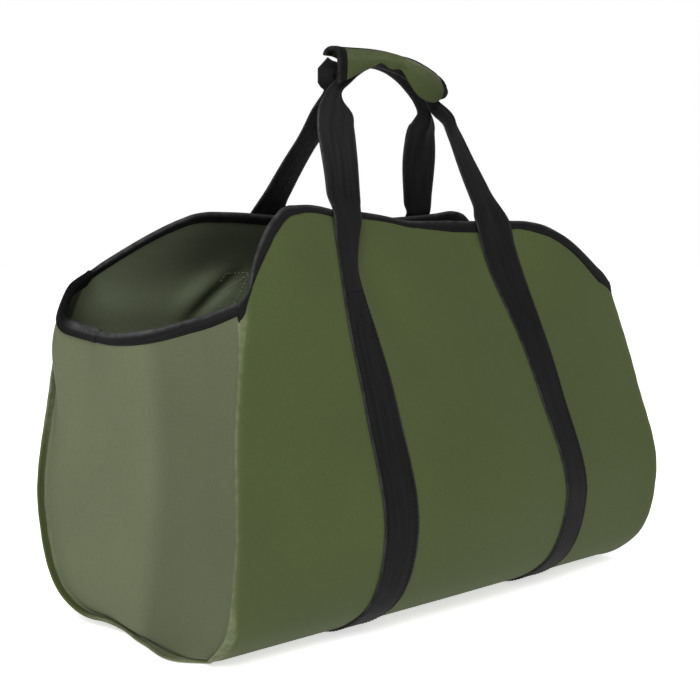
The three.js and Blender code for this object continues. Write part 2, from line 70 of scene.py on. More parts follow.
# Upright profile of each face from the edge of the flat bottom to the shoulder: depth, height, half length
BOTTOM_DEPTH = 71
LOW_PROFILE = ((BOTTOM_DEPTH, 0, 275), (117, 23, 285), (138, 95, 291))
FRONT_PROFILE = (*LOW_PROFILE, (121, 195, 274), (101, 289, 254), (80, 363.5, 250))
BACK_PROFILE = (*LOW_PROFILE, (126, 195, 288), (88, 303, 281), (36, 366, 260))
TURN_ROW, BELLY_ROW, CORNER_ROW = 1, 2, 4

# How far the belly fills out in the middle, and how far the top leans out at the right
BELLY_OUT = 22
RIGHT_LEAN, RIGHT_LEAN_RANGE = 5, (0.6, 1)

# The bottom's end edges: where they stand out or in, and where they lift off the floor, each as a place
# across the bag, a width and a height, with their range along the half length and up an end panel
BOTTOM_WAVES = ((-44, 36, 12), (40, 22, -6), (-76, 14, -9.5))
BOTTOM_LIFT = (68, 26, 6.5)
BOTTOM_END_RANGE, BOTTOM_REACH = (0.75, 0.95), 0.16

# How far the top edges lie below the shoulder, by the place along the half length
RIM_AT = (0, 0.16, 0.3, 0.43, 0.5, 0.6, 0.68, 0.73, 0.76, 0.79, 0.825, 0.87, 0.91, 0.955, 1)
FRONT_DROPS = {
    LEFT: (5.3, 3.4, 3.2, 5, 2.8, -0.3, -0.9, -0.8, 1.5, 6.3, 13, 26.2, 41.8, 64.3, 77.4),
    RIGHT: (5.3, 3.4, 2, 1, 0.8, 2, 7.3, 13.9, 18.4, 23.7, 31, 41.4, 50.8, 60.3, 71),
}
BACK_DROPS = {
    LEFT: (9.5, 7.5, 4.8, 1.9, 0.6, -0.2, 0.2, 3.3, 7.7, 12.8, 20.5, 33, 46, 61.5, 80),
    RIGHT: (9.5, 7.5, 4.8, 2, 0, -3.5, 1, 9, 14, 19, 26, 38, 48.5, 62, 80),
}
RIM_ROUNDS = 8

# Where each face's gather is given, along the half length, and its straps, from the belly to the shoulder
GATHER_AT = (0, 0.28, 0.5, 0.75, 1)
STRAP_AT = (0, 0.4, 0.75, 1)

# The cloth's border folds round the corner at the side seams; its width goes with the girth, and so does
# the angle in front, of which the right end has a share
TURNED_AT = (BOTTOM_DEPTH, 105, 180, 300, 360, 400, 420)
TURNED_WIDTH = (8, 11, 3, 3, 5, 11, 11)
TURNED_EASE, RIGHT_SHARE = 2, 0.2

# Box of stitching on each strap, below the shoulder, the rows' distance from the webbing's edge and the girth
# where they start
BOX_LOW, BOX_HIGH = 111, 73
STITCH_INSET, STITCH_START = 3, 4

# Stitches: the space between two, how far they lie over the webbing or the cloth, the radius of the thread in
# the tape and in the webbing, and how much lighter they are inside the bag
STITCH_GAP, STITCH_LIFT = 1.1, 0.05
TAPE_THREAD, STRAP_THREAD = 0.3, 0.32
STITCH_LIGHT = 0.2

# Webbing: half the slit where the two handles' webbing meets under the bottom, and, by the distance below the
# top edge, where a strap rises over the tape and where its inner edge comes loose
HALF_SLIT = 0.2
OVER_TAPE_RANGE, LOOSE_RANGE = (17, 10), (55, 0)

# Section of the webbing: cupping where it is open, roundness and middle of a fold, thinned edges, and a
# selvedge as a place across, a width and a height; and the distance between two sections
STRAP_CUP, BEND_ROUND, BEND_MIDDLE = 1.3, 0.1, 0.55
EDGE_THIN, EDGE_POWER = 0.6, 14
SELVEDGE = (0.93, 0.05, 0.12)
STRAP_STEP = 3

# Looks of the webbing: pale edges, and painted light on half of each handle by the height and the place along
EDGE_WEAR = 0.07
LIT, LIT_HEIGHT_RANGE, LIT_ALONG_RANGE = 0.45, (380, 430), (0, 40)

# Soft hollows and swells of the cloth: place along the bag, drop below the shoulder, the two radii,
# the slant in degrees, and how far the cloth stands out
FRONT_DENTS = (
    (-77, 68, 28, 48, 8, -12),
    (-128, 60, 20, 46, -10, 2.5),
    (82, 60, 22, 40, -6, -3),
    (20, 150, 120, 70, 0, 2),
)
BACK_DENTS = (
    (-136, 90, 15, 30, -37, -5),
    (-120, 101, 8, 28, -37, 7),
    (110, 96, 16, 50, -28, -4),
    (0, 70, 70, 40, 0, -4),
)

# Slow waves of the sling and of the end panels, each the product of two slanted sine waves: how far they
# stand out, and the sines' lengths on the sling or their rates on a panel, where they start off the seams
SLING_WAVE, SLING_WAVES = 1.1, ((37, 61), (-90, 47))
END_WAVE, END_WAVES, END_WAVE_START = 0.9, ((3.1, 5), (-2, 6)), 40

# Puckers, which die away from the seams over a reach: how far they stand out, and their lengths or rates
PUCKER_REACH = 8
SLING_PUCKER, SLING_PUCKERS = 0.16, (3.4, 23)
END_PUCKER, END_PUCKERS = 0.2, (40, 88)

# Painted shade on the coating inside the front, and painted light and shade inside the back by the distance
# below the shoulder, with a painted shadow high up over all but its left end
FRONT_INSIDE_SHADE = 0.75
INSIDE_SHADING_AT = (0, 30, 50, 72, 84, 95, 105, 120, 200)
BACK_INSIDE_SHADING = (0.55, 0.5, 0.58, 0.76, 0.92, 1.08, 1.02, 0.7, 0.75)
SHADE, SHADE_ALONG_RANGE, SHADE_DROP_RANGE = 0.3, (-205, -145), (80, 55)

# The sling's side edges are rolled to a bead, which is fatter where the cloth turns up from the bottom: its
# radius, how many radii it takes to ease to the cloth, and the least square of its half thickness
BEAD, TURN_BEAD = 1.4, 0.6
BEAD_FADE, BEAD_LEAST = 2.6, 0.06
TURN_AT, TURN_WIDTH = 88, 26

# Wear of the sling: on the bead, where the cloth turns up and at the edges under the bottom; painted light on
# the border folded over at the left, more where that is wide; and wear inside, past the coating, at the
# back's seams
BEAD_WEAR, TURN_WEAR = 2, 0.35
UNDER_RANGE, UNDER_EDGE_RANGE = (95, 75), (5, 3)
FOLDED_PAINTED_LIGHT, FOLDED_SOFT = 0.3, 1.5
WIDE_PAINTED_LIGHT, WIDE_RANGE = 0.6, (3, 8)
SEAM_WEAR, SEAM_WEAR_RANGE = 1.5, (220, 340)
FRONT_BORDER = 4

# End panels: how far the rim hangs from the front seam to the back seam, flare outwards, a fold by the back
# corner and a crease down the middle, which starts nearer to the back at the bottom
SAG_AT = (-1, -0.8, -0.6, -0.4, 0, 0.25, 0.45, 0.6, 0.7, 0.8, 0.9, 1)
END_SAG = (0, 10, 17, 23.5, 32.4, 35, 35.5, 34, 31, 21.5, 6, 0)
END_FLARE, END_BULGE = 44, 6
END_CREASE, CREASE_AT, CREASE_START, CREASE_ROUND = -12, -0.25, 0.33, 0.012
CREASE_RANGE = (0, 0.3)
FOLD_AT, FOLD_WIDTH, FOLD_OUT, FOLD_FADE = 0.76, 0.19, 25.5, 0.12
FOLD_RANGE = (0.46, 1)
PANEL_HALF, PANEL_HEIGHT = 110, 330

# Seams of the end panels: how far the sling goes past them, how far a panel's edge turns out into them, and
# the share of their height below the sling's turn
SEAM_LIP = {FRONT: 5, BACK: 9}
SEAM_TURN, TURN_SHARE = 2.4, 0.2

# Looks of the end panels: painted shade in front of the crease, and inside in the back corner, and pale at
# the seams
END_PAINTED_SHADE, CREASE_SHADE_LIFT, CREASE_SOFT = 0.75, 0.25, 0.12
CORNER_PAINTED_SHADE, CORNER_SHADE_RANGE = 0.75, (0.5, 0.65)
END_WEAR = 3

# How far the tape on the front's top edge reaches down its face, by the place along the bag, the share of its
# full depth at the back, and how far it goes past the ends
TAPE_AT_LEFT = (-255, -247, -241, -236, -231, -226, -219, -210, -203, -190, -178, -160, -60, -20)
TAPE_REACH_LEFT = (12, 11, 5, 5, 8.4, 10.6, 13, 14, 12.4, 10.3, 7.5, 5.5, 5.5, 4.8)
TAPE_AT_RIGHT = (12, 33, 60, 90, 134, 158, 181, 205, 231, 245, 255)
TAPE_REACH_RIGHT = (6.2, 8.2, 10.6, 11.2, 7.5, 10, 10.5, 13, 16.5, 12, 10)
TAPE_AT = TAPE_AT_LEFT + TAPE_AT_RIGHT
TAPE_REACH = TAPE_REACH_LEFT + TAPE_REACH_RIGHT
BACK_REACH, RIM_PAST = 0.95, 0.2

# Section of one leg of the folded tape from its edge to the fold: share of the reach and of the thickness.
# It is drawn in where it is stitched, and has a painted highlight along the fold
TAPE_LEG = np.array([1, 0.97, 0.86, 0.74, 0.66, 0.5, 0.3, 0.12])
TAPE_STAND = np.array([0.15, 0.75, 0.95, 0.72, 0.95, 1.25, 1.2, 1.05])
STITCHED = 3
TAPE_FOLD_HIGHLIGHT = 1.5

# Tape on an end panel's rim: its ends by the seams, a second layer that laps over it at the back, painted
# light over it, and painted shade over the stretch at the back
END_TAPE_TO = 0.985
TAPE_LAP, LAP_RANGE = 1.6, (0.36, 0.372)
END_TAPE_PAINTED_LIGHT, END_TAPE_PAINTED_SHADE, END_TAPE_SHADE_RANGE = 1.2, 1.05, (0.62, 0.74)

# Routes of the free handles from left to right: x, y, z, twist, fold and width. twist turns the webbing about
# its length and fold doubles it along its middle, in degrees; width is what is left of it in the grip
FRONT_HANDLE = (
    (-91, -54, 384, 8, 0, 38),
    (-85, -44, 412, 12, 0, 38),
    (-80, -33, 446, 18, 0, 38),
    (-72.5, -27, 463, 17, 15, 38),
    (-67, -21, 480, 4, 60, 29),
    (-55, -22.8, 491, 0, 66, 26),
    (-38, -21, 502, 0, 66, 26),
    (-15, -18.5, 511.5, 0, 66, 26),
    (10, -20.5, 510, 0, 66, 26),
    (34, -21.5, 502.5, 0, 66, 26),
    (55, -22, 490.5, 0, 64, 27),
    (67.5, -20.6, 477, -6, 60, 26),
    (75, -33, 462, -18, 28, 34),
    (78, -37, 446, -21, 0, 38),
    (87, -46, 416, -16, 0, 38),
    (99, -55, 384, -10, 0, 38),
)
BACK_HANDLE = (
    (-99, 27, 386, -16, 0, 38),
    (-88.5, 15.5, 414, -20, 0, 38),
    (-76, 2.5, 444, -23, 0, 38),
    (-63, -4, 464, -16, 28, 35),
    (-56.5, -4.5, 483, -6, 62, 28),
    (-59.5, -2.6, 498.5, 0, 44, 34),
    (-38, -11, 502, 0, 66, 26),
    (-15, -12.4, 511.5, 0, 66, 26),
    (10, -10.5, 510, 0, 66, 26),
    (34, -7, 502.5, 0, 66, 26),
    (51.5, -6.5, 491, 2, 66, 26),
    (63, -6, 481, 6, 64, 26),
    (71, -5.5, 470, 10, 57, 28),
    (74.5, -1, 458.5, 12, 38, 35),
    (76.5, 6, 447, 15, 18, 37),
    (86, 18, 422, 20, 0, 38),
    (98.5, 30.5, 386, 9, 0, 38),
)

# Grip wrap: place along the bag, its ridge, where its front and back stand, the lower edges of its two faces,
# and the height of its rounded top. Its right end turns in towards the webbing
GRIP = (
    (-75, 519, -31, -13, 486.5, 513.2, 5),
    (-65.5, 519.3, -31, -12, 490, 513, 5.5),
    (-52, 520, -31, -7, 496, 512, 7),
    (-40, 520.8, -31, -2, 501, 511, 8),
    (-28, 521.4, -31, 0, 506, 511, 8),
    (-20, 521.6, -31, 0, 509, 511, 8),
    (-6, 521.4, -31, 0, 504.5, 510.5, 8),
    (10, 520.3, -31, 0.5, 503.3, 509.5, 8),
    (18, 519, -31, 1, 494, 507.5, 8),
    (28, 517.2, -31, 1, 484.5, 505, 8),
    (40, 514.4, -31, 3, 478.5, 503, 8),
    (53, 510, -31, 2, 477, 498, 8),
    (64, 505, -31, 1, 481, 494, 8),
    (72, 499, -29.5, 0, 485, 489.5, 7),
)
GRIP_LEFT, GRIP_RIGHT = GRIP[0][0], GRIP[-1][0]

# The way round the wrap: its length, and the shares of it where the front ends and the back starts
GRIP_ROUND, GRIP_LEG, GRIP_TOP = 90, 0.42, 0.75

# The wrap's front: a swell, which is full where the face is tall, ripples, and a crease that slants up
GRIP_SWELL, GRIP_SWELL_RANGE, GRIP_TALL = 2.6, (-72, -32), 20
GRIP_RIPPLE, RIPPLE_LENGTH, RIPPLE_SLANT = 0.7, 9, 2
GRIP_CREASE, GRIP_CREASE_AT, GRIP_CREASE_SLANT, GRIP_CREASE_WIDTH = 2, 4, 26, 9

# Looks of the wrap: painted highlights along its ridge and its front, as a share of the way round, a width
# and an amount, the first at the right only, and painted shade over its right
RIDGE_HIGHLIGHT, RIDGE_HIGHLIGHT_RANGE = (0.47, 0.03, 1.3), (8, 28)
GRIP_FRONT_HIGHLIGHT = (0.4, 0.1, 0.4)
GRIP_TONE, GRIP_RIGHT_SHADE, GRIP_RIGHT_SHADE_RANGE = 0.84, 0.18, (15, 55)

# Tape on the grip's ends, with the way along the bag for each millimetre down from the edge, and on its
# ridge, by shares of the way round, from where it moves forwards at the right
GRIP_TAPES = (("left", GRIP_LEFT, 1), ("right", GRIP_RIGHT, -0.84))
GRIP_TAPE_REACH, GRIP_TAPE_TONE = 9.5, 0.6
GRIP_TAPE_AROUND = (0.004, 0.996)
RIDGE_LEFT, RIDGE_RIGHT = -64, 64.5
RIDGE_AROUND, RIDGE_MOVE, RIDGE_MOVE_RANGE = (0.585, 0.64), 0.075, (18, 36)

# Rows and columns of the pieces' grids. The sling's, the end panels' and the rim tape's crowd together at the
# seams, and the end panels' rows at the bottom
SLING_GRID, SLING_MIDDLE = (150, 112), 0.925
SLING_SEAM = np.array([0, 0.35, 1, 2, 3.2, 4.4, 5.6, 7.5, 10.5, 15])
END_GRID, END_CROWDING, END_POWER = (120, 110), 0.45, 1.15
GRIP_GRID, RIDGE_GRID = (110, 60), (90, 8)
LEG_ROWS, HANDLE_ROWS, STRAP_COLUMNS = 46, 64, 17
RIM_ROWS, RIM_CROWDING = 320, 1.25
END_TAPE_ROWS, GRIP_TAPE_ROWS, TAPE_FOLD_COLUMNS = 220, 90, 9

# Width of a column and length of a rib in the weave of the tape and of the webbing, in metres
TAPE_WEAVE = (0.0011, 0.0007)
WEBBING_WEAVE = (0.0017, 0.0013)

# Stage, in metres: the floor, the lights and the point they face, and the camera. The top light's spread is
# in degrees and the sensor's width in millimetres
FLOOR_REACH = 9
LIT_POINT = (0, 0, 0.22)
KEY_PLACE, KEY_SIZE = (-1.75, -1.55, 1.8), 1.3
FILL_PLACE, FILL_SIZE = (1.0, -2.4, 1.2), 2.0
TOP_PLACE, TOP_SPREAD = (0, 0, 3), 60
CAMERA_PLACE = (-0.9699, -0.9548, 0.3615)
CAMERA_FORWARD = (0.6987, 0.7096, -0.0912)
SENSOR_WIDTH = 36


def ease(value, start, end):
    """Goes from 0 at start to 1 at end with level ends, 3t² - 2t³. It falls where start is past end."""
    t = np.clip((value - start) / (end - start), 0, 1)
    return t * t * (3 - 2 * t)


def bump(at, centre, width, height=1):
    """A Gaussian bump, height times exp(-d²), where d is the distance from its centre in widths."""
    return height * np.exp(-(((at - centre) / width) ** 2))


def unit(vectors):
    """The same directions with length one."""
    return vectors / np.linalg.norm(vectors, axis=-1, keepdims=True)


def travel(path):
    """Distance along a path of points up to each of them."""
    return np.append(0, np.cumsum(np.linalg.norm(np.diff(path, axis=0), axis=-1)))


def smooth(knots, values, at, start=None):
    """Cubic through the knots. The slope at a knot is the mean of its neighbours' slopes, each weighed by
    the other's span, and start is the slope at the first knot."""
    knots, values, at = (np.asarray(a, float) for a in (knots, values, at))
    more = (1,) * (values.ndim - 1)
    span = np.diff(knots).reshape(-1, *more)
    slope = np.diff(values, axis=0) / span
    inner = (slope[:-1] * span[1:] + slope[1:] * span[:-1]) / (span[:-1] + span[1:])
    first = slope[:1] if start is None else np.full_like(slope[:1], start)
    tangent = np.concatenate([first, inner, slope[-1:]])
    i = np.clip(np.searchsorted(knots, at, side="right") - 1, 0, len(knots) - 2)
    h = span[i]
    t = (at - knots[i]).reshape(at.shape + more) / h
    t2, t3 = t * t, t * t * t
    ends = (2 * t3 - 3 * t2 + 1) * values[i] + (3 * t2 - 2 * t3) * values[i + 1]
    return ends + h * ((t3 - 2 * t2 + t) * tangent[i] + (t3 - t2) * tangent[i + 1])


def bottom_wave(girth):
    """How far the bottom's end edges stand out, as a sum of Gaussian bumps: a swell in front of the middle, a
    hollow behind it, and a rounded front corner."""
    return sum(bump(girth, *row) for row in BOTTOM_WAVES)


def bottom_lift(girth):
    """How far the bottom's end edges lift off the floor behind the middle, as a Gaussian bump."""
    return bump(girth, *BOTTOM_LIFT)


class Face:
    """One tall side of the sling, from the middle of the bottom up to its top edge. lean tips its top along
    the bag at the left and the right, turned is the angle of its border, gather is how far the handles draw
    its top to the middle plane, straps is how far its straps lie from the middle, and loose is how far their
    inner edges stand off the cloth at the top edge."""

    def __init__(self, side, profile, drops, lean, turned, gather, straps, loose, dents):
        self.side = side
        self.depth, self.height, self.half = np.array(profile, float).T
        run = np.hypot(np.diff(self.depth), np.diff(self.height))
        self.girth = BOTTOM_DEPTH + np.append(0, np.cumsum(run))
        self.drops, self.lean, self.turned, self.gather = drops, lean, turned, gather
        self.straps, self.loose, self.dents = straps, loose, dents

    def climb(self, girth):
        """How far a girth is from the belly to the shoulder, 0 to 1."""
        belly, top = self.girth[BELLY_ROW], self.girth[-1]
        return np.clip((girth - belly) / (top - belly), 0, 1)

    def half_length(self, girth):
        """Half the cloth's length at a girth."""
        return smooth(self.girth, self.half, np.maximum(girth, BOTTOM_DEPTH), 0)

    def rim(self, along, shift):
        """Girth of the top edge at a fraction of the half length plus a shift, which is found by going round,
        as the half length goes with the girth."""
        girth = self.girth[-1] + 0 * (along + shift)
        for _ in range(RIM_ROUNDS):
            across = along + shift / self.half_length(girth)
            position = np.minimum(np.abs(across), 1)
            left, right = (smooth(RIM_AT, self.drops[end], position, 0) for end in (LEFT, RIGHT))
            girth = self.girth[-1] - np.where(across < 0, left, right)
        return girth

    def rim_end(self, end, past):
        """Place along the bag a little past one end of the top edge."""
        return end * (float(self.half_length(self.rim(float(end), 0.0))) + past)

    def from_rim(self, x, drop):
        """Points at a drop below the top edge."""
        return self.point(x, self.rim(0.0, x) - drop)

    def strap(self, end, girth):
        """Place along the bag of the middle of the strap nearer to one end."""
        return end * smooth(STRAP_AT, self.straps[end], self.climb(girth))

    def slack(self, x, girth, half):
        """How far the cloth stands out of its smooth shape: slow waves along the bag, slanted Gaussian dents,
        and puckers that die away from the side seams."""
        one, two = (np.sin(x / along + girth / up) for along, up in SLING_WAVES)
        total = SLING_WAVE * one * two
        for place, drop, wide, tall, slant, out in self.dents:
            right, down = x - place, self.girth[-1] - girth - drop
            turn = radians(slant)
            along = right * np.cos(turn) - down * np.sin(turn)
            beside = right * np.sin(turn) + down * np.cos(turn)
            total = total + bump(along, 0, wide, out) * bump(beside, 0, tall)
        fading = SLING_PUCKER * np.exp(-np.abs(half - np.abs(x)) / PUCKER_REACH)
        length, drift = SLING_PUCKERS
        return total + fading * np.sin(girth / length + np.sin(girth / drift))

    def border(self, x, girth, half):
        """How much of the cloth lies past the fold at a side seam, easing in over the fold, and the angle by
        which it is turned there."""
        past = smooth(TURNED_AT, TURNED_WIDTH, girth) - half + np.abs(x)
        turned = (past + np.hypot(past, TURNED_EASE)) / 2
        return turned, np.radians(smooth(TURNED_AT, self.turned, girth) * np.where(x < 0, 1, RIGHT_SHARE))

    def point(self, x, girth):
        """Middle of the cloth. Depth and height follow the profile; cos² of the place along fills the belly,
        and the handles draw the top to the middle plane by the square of the climb."""
        half = self.half_length(girth)
        across = x / half
        position = np.minimum(np.abs(across), 1)
        up = self.climb(girth)
        wall = np.maximum(girth, BOTTOM_DEPTH)
        low = ease(girth, BOTTOM_DEPTH, self.girth[BELLY_ROW])
        belly = BELLY_OUT * np.cos(position * pi / 2) ** 2 * (1 - ease(up, 0, 1))
        gather = smooth(GATHER_AT, self.gather, position) * up**2
        depth = smooth(self.girth, self.depth, wall, 1) - gather
        turned, angle = self.border(x, np.clip(girth, TURNED_AT[0], TURNED_AT[-1]), half)
        depth = depth + low * (belly + self.slack(x, girth, half)) - turned * np.sin(angle)
        lean = np.where(x < 0, *self.lean)
        height = smooth(self.girth, self.height, wall, 0) - lean * np.sin(pi * across) * up**2
        flat = girth < BOTTOM_DEPTH
        near_end = ease(position, *BOTTOM_END_RANGE)
        wave = bottom_wave(self.side * girth) * near_end
        leaning = RIGHT_LEAN * up**2 * ease(across, *RIGHT_LEAN_RANGE)
        x = x + np.sign(x) * (wave - turned * (1 - np.cos(angle))) + leaning
        y = self.side * np.where(flat, girth, depth)
        z = BASE + np.where(flat, 0, height) + bottom_lift(self.side * girth) * near_end
        return np.stack(np.broadcast_arrays(x, y, z), -1).astype(float)

    def frame(self, x, girth):
        """Points of the cloth and its normals out of the bag, by differences."""
        step = 0.5
        run = self.point(x + step, girth) - self.point(x - step, girth)
        rise = self.point(x, girth + step) - self.point(x, girth - step)
        return self.point(x, girth), unit(np.cross(run, rise)) * -self.side


FRONT_FACE = Face(
    side=FRONT,
    profile=FRONT_PROFILE,
    drops=FRONT_DROPS,
    lean=(8.5, 4.2),
    turned=(0, 50, 60, 60, 65, 65, 65),
    gather=(36, 33, 13, 0, 0),
    straps={LEFT: (119, 119, 116, 102.5), RIGHT: (130, 116, 105, 106)},
    loose={LEFT: 10, RIGHT: 3},
    dents=FRONT_DENTS,
)
BACK_FACE = Face(
    side=BACK,
    profile=BACK_PROFILE,
    drops=BACK_DROPS,
    lean=(0, 0),
    turned=(0, 10, 0, 0, 0, 0, 0),
    gather=(6, 5, 1, 0, 0),
    straps={LEFT: (119, 113, 101, 102), RIGHT: (130, 119, 110, 106)},
    loose={LEFT: 0, RIGHT: 0},
    dents=BACK_DENTS,
)
FACES = {"front": FRONT_FACE, "back": BACK_FACE}


class End:
    """One end panel, between the front seam at q = -1 and the back seam at q = 1, from the bottom seam at
    t = 0 to the rim at t = 1."""

    def __init__(self, end):
        self.end = end
        self.rims = {f.side: float(f.rim(float(end), -end * SEAM_LIP[f.side])) for f in FACES.values()}

    def seam(self, face, t):
        """The line where the panel meets a face of the sling."""
        knots = (BOTTOM_DEPTH, face.girth[TURN_ROW], self.rims[face.side])
        girth = np.interp(t, (0, TURN_SHARE, 1), knots)
        point, normal = face.frame(self.end * (face.half_length(girth) - SEAM_LIP[face.side]), girth)
        return point - normal * (CLOTH / 2 + SEAM_GAP)

    def edge(self, q, t):
        """Distance from the nearest seam."""
        return np.minimum((1 - np.abs(q)) * PANEL_HALF, t * PANEL_HEIGHT)

    def crease(self, t):
        """Place of the crease across the panel, nearer to the back at the bottom."""
        return CREASE_AT + CREASE_START * (1 - t) ** 2

    def bottom(self, q, wave):
        """How far the bottom seam departs from a straight line between its corners by one of its waves."""
        corners = np.interp(q, (-1, 1), (wave(-BOTTOM_DEPTH), wave(BOTTOM_DEPTH)))
        return wave(BOTTOM_DEPTH * q) - corners

    def point(self, q, t):
        """Straight lines between the two seams, moved outwards by a flare, a bulge, a rounded tent for the
        crease and a Gaussian fold, and let down by the slack. The edges turn outwards into the seams."""
        q, t = np.broadcast_arrays(q, t)
        front, back = self.seam(FRONT_FACE, t), self.seam(BACK_FACE, t)
        share = (q[..., None] + 1) / 2
        point = front + (back - front) * share
        rise = (front[..., 2] + back[..., 2] - 2 * BASE) / 2 / FRONT_FACE.height[CORNER_ROW]
        slack = 1 - q * q
        fold = bump(q, FOLD_AT, FOLD_WIDTH, FOLD_OUT) * np.clip((1 - np.abs(q)) / FOLD_FADE, 0, 1)
        out = slack * (END_FLARE * rise**3 + END_BULGE * rise * (1 - rise))
        out = out + fold * ease(rise, *FOLD_RANGE)
        tent = END_CREASE * (1 - np.sqrt((q - self.crease(t)) ** 2 + CREASE_ROUND))
        tent = tent * ease(rise, *CREASE_RANGE) * np.clip(slack * 2, 0, 1)
        edge = self.edge(q, t)
        turned = SEAM_TURN * np.exp(-edge / SEAM_TURN)
        across, up = END_PUCKERS
        pucker = END_PUCKER * np.exp(-edge / PUCKER_REACH) * np.sin(across * q + up * t)
        one, two = (np.sin(across * q + up * t) for across, up in END_WAVES)
        waves = END_WAVE * one * two * np.clip(edge / END_WAVE_START, 0, 1)
        out = out + tent + turned + pucker + waves
        low = bump(t, 0, BOTTOM_REACH)
        point[..., 0] += self.end * (out + low * self.bottom(q, bottom_wave))
        point[..., 2] += low * self.bottom(q, bottom_lift) - smooth(SAG_AT, END_SAG, q) * rise**3
        return point

    def frame(self, q, t):
        """Points of the panel and its normals out of the bag, by differences."""
        step = 0.004
        run = self.point(q + step, t) - self.point(q - step, t)
        rise = self.point(q, np.minimum(t + step, 1)) - self.point(q, np.minimum(t, 1) - step)
        return self.point(q, t), unit(np.cross(run, rise)) * self.end

    def from_rim(self, q, depth):
        """Points at a depth below the rim, measured along the panel."""
        step = 0.01
        height = np.linalg.norm(self.point(q, 1.0) - self.point(q, 1 - step), axis=-1) / step
        return self.point(q, 1 - depth / height)


ENDS = {"left": End(LEFT), "right": End(RIGHT)}


def grip_point(x, s):
    """The wrap's cloth: up its front face, over the ridge on half an ellipse and down its back face, as s
    goes from 0 to 1. The front swells between its lower edge and the ridge by half a sine wave, with ripples
    and a slanted crease."""
    x, s = np.broadcast_arrays(x, s)
    knots, *columns = np.array(GRIP).T
    ridge, front, back, front_edge, back_edge, high = (smooth(knots, c, x) for c in columns)
    spring = ridge - high
    middle, half = (front + back) / 2, (back - front) / 2
    up = np.clip(s / GRIP_LEG, 0, 1)
    over = np.clip((s - GRIP_LEG) / (GRIP_TOP - GRIP_LEG), 0, 1) * pi
    down = np.clip((s - GRIP_TOP) / (1 - GRIP_TOP), 0, 1)
    swell = 1 + GRIP_SWELL * ease(x, *GRIP_SWELL_RANGE)
    swell = swell * np.clip((spring - front_edge) / GRIP_TALL, 0, 1)
    ripple = GRIP_RIPPLE * np.sin(x / RIPPLE_LENGTH + RIPPLE_SLANT * up)
    crease = bump(x, GRIP_CREASE_AT + GRIP_CREASE_SLANT * up, GRIP_CREASE_WIDTH, GRIP_CREASE)
    y = middle - half * np.cos(over) - (swell + ripple - crease) * np.sin(pi * up)
    z = np.where(
        s < GRIP_LEG,
        front_edge + (spring - front_edge) * up,
        spring + high * np.sin(over) + (back_edge - spring) * down,
    )
    return np.stack([x, y, z], -1).astype(float)


def grid_normals(grid):
    """Normals of a grid of points, by the differences of its neighbours."""
    return unit(np.cross(np.gradient(grid, axis=0), np.gradient(grid, axis=1)))


def both_faces(outer, inner):
    """Closed sections out of the two faces of a wall, or values for them."""
    return np.concatenate([outer, inner[:, ::-1]], 1)


def twice(values):
    """The same values for the two faces of a wall."""
    return both_faces(values, values)


def sheet_wall(grid, normal, half):
    """Closed sections of a sheet with a half thickness on either side of a grid of points."""
    return both_faces(grid + normal * half, grid - normal * half)


def skin_faces(rows, count):
    """Quads round a run of closed sections, and across the first and the last one between points that
    face each other."""
    i, k = np.meshgrid(np.arange(rows - 1), np.arange(count), indexing="ij")
    a, b = i * count + k, i * count + (k + 1) % count
    sides = np.stack([a, b, b + count, a + count], -1).reshape(-1, 4)
    j = np.arange(count // 2 - 1)
    cap = np.stack([j, j + 1, count - 2 - j, count - 1 - j], -1)
    return np.concatenate([sides, cap[:, ::-1], cap + (rows - 1) * count])


def add_mesh(name, points, quads, uv, fields, material, node=None):
    """A piece on the body root from points in millimetres. Its faces are turned outwards if the volume they
    enclose comes out negative."""
    a, b, c, d = (points[quads[:, k]] for k in range(4))
    volume = np.sum(a * (np.cross(b, c) + np.cross(c, d)))
    quads = quads if volume > 0 else quads[:, ::-1]
    mesh = bpy.data.meshes.new(name)
    mesh.from_pydata((points * MM).tolist(), [], quads.tolist())
    corner = np.empty(len(mesh.loops), np.int32)
    mesh.loops.foreach_get("vertex_index", corner)
    mesh.uv_layers.new(name="cloth").data.foreach_set("uv", (uv * MM)[corner].astype(np.float32).ravel())
    for field, values in fields.items():
        layer = mesh.attributes.new(field, "FLOAT", "POINT")
        layer.data.foreach_set("value", np.broadcast_to(values, len(points)).astype(np.float32))
    mesh.polygons.foreach_set("use_smooth", np.ones(len(quads), bool))
    mesh.update()
    mesh.materials.append(material)
    piece = bpy.data.objects.new(name, mesh)
    bpy.context.scene.collection.objects.link(piece)
    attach(piece, "root")
    if node:
        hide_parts(node)
    return piece


def add_skin(name, skin, material, node):
    """A closed piece from a skin: a run of sections, each a closed line of points, their place on the cloth's
    threads, and the fields of numbers that the finish reads."""
    sections, uv, fields = skin
    rows, count = sections.shape[:2]
    flat = {field: np.broadcast_to(values, (rows, count)).ravel() for field, values in fields.items()}
    quads = skin_faces(rows, count)
    return add_mesh(name, sections.reshape(-1, 3), quads, uv.reshape(-1, 2), flat, material, node)


def rolled(edge, radius, cloth):
    """Half thickness of a cloth whose edge is rolled to a bead: a half circle of the radius, easing to the
    cloth's own half thickness behind it."""
    arc = np.sqrt(np.maximum(radius**2 - (radius - np.minimum(edge, radius)) ** 2, BEAD_LEAST))
    behind = cloth / 2 + (radius - cloth / 2) * (1 - ease(edge, radius, BEAD_FADE * radius))
    return np.where(edge < radius, arc, behind)


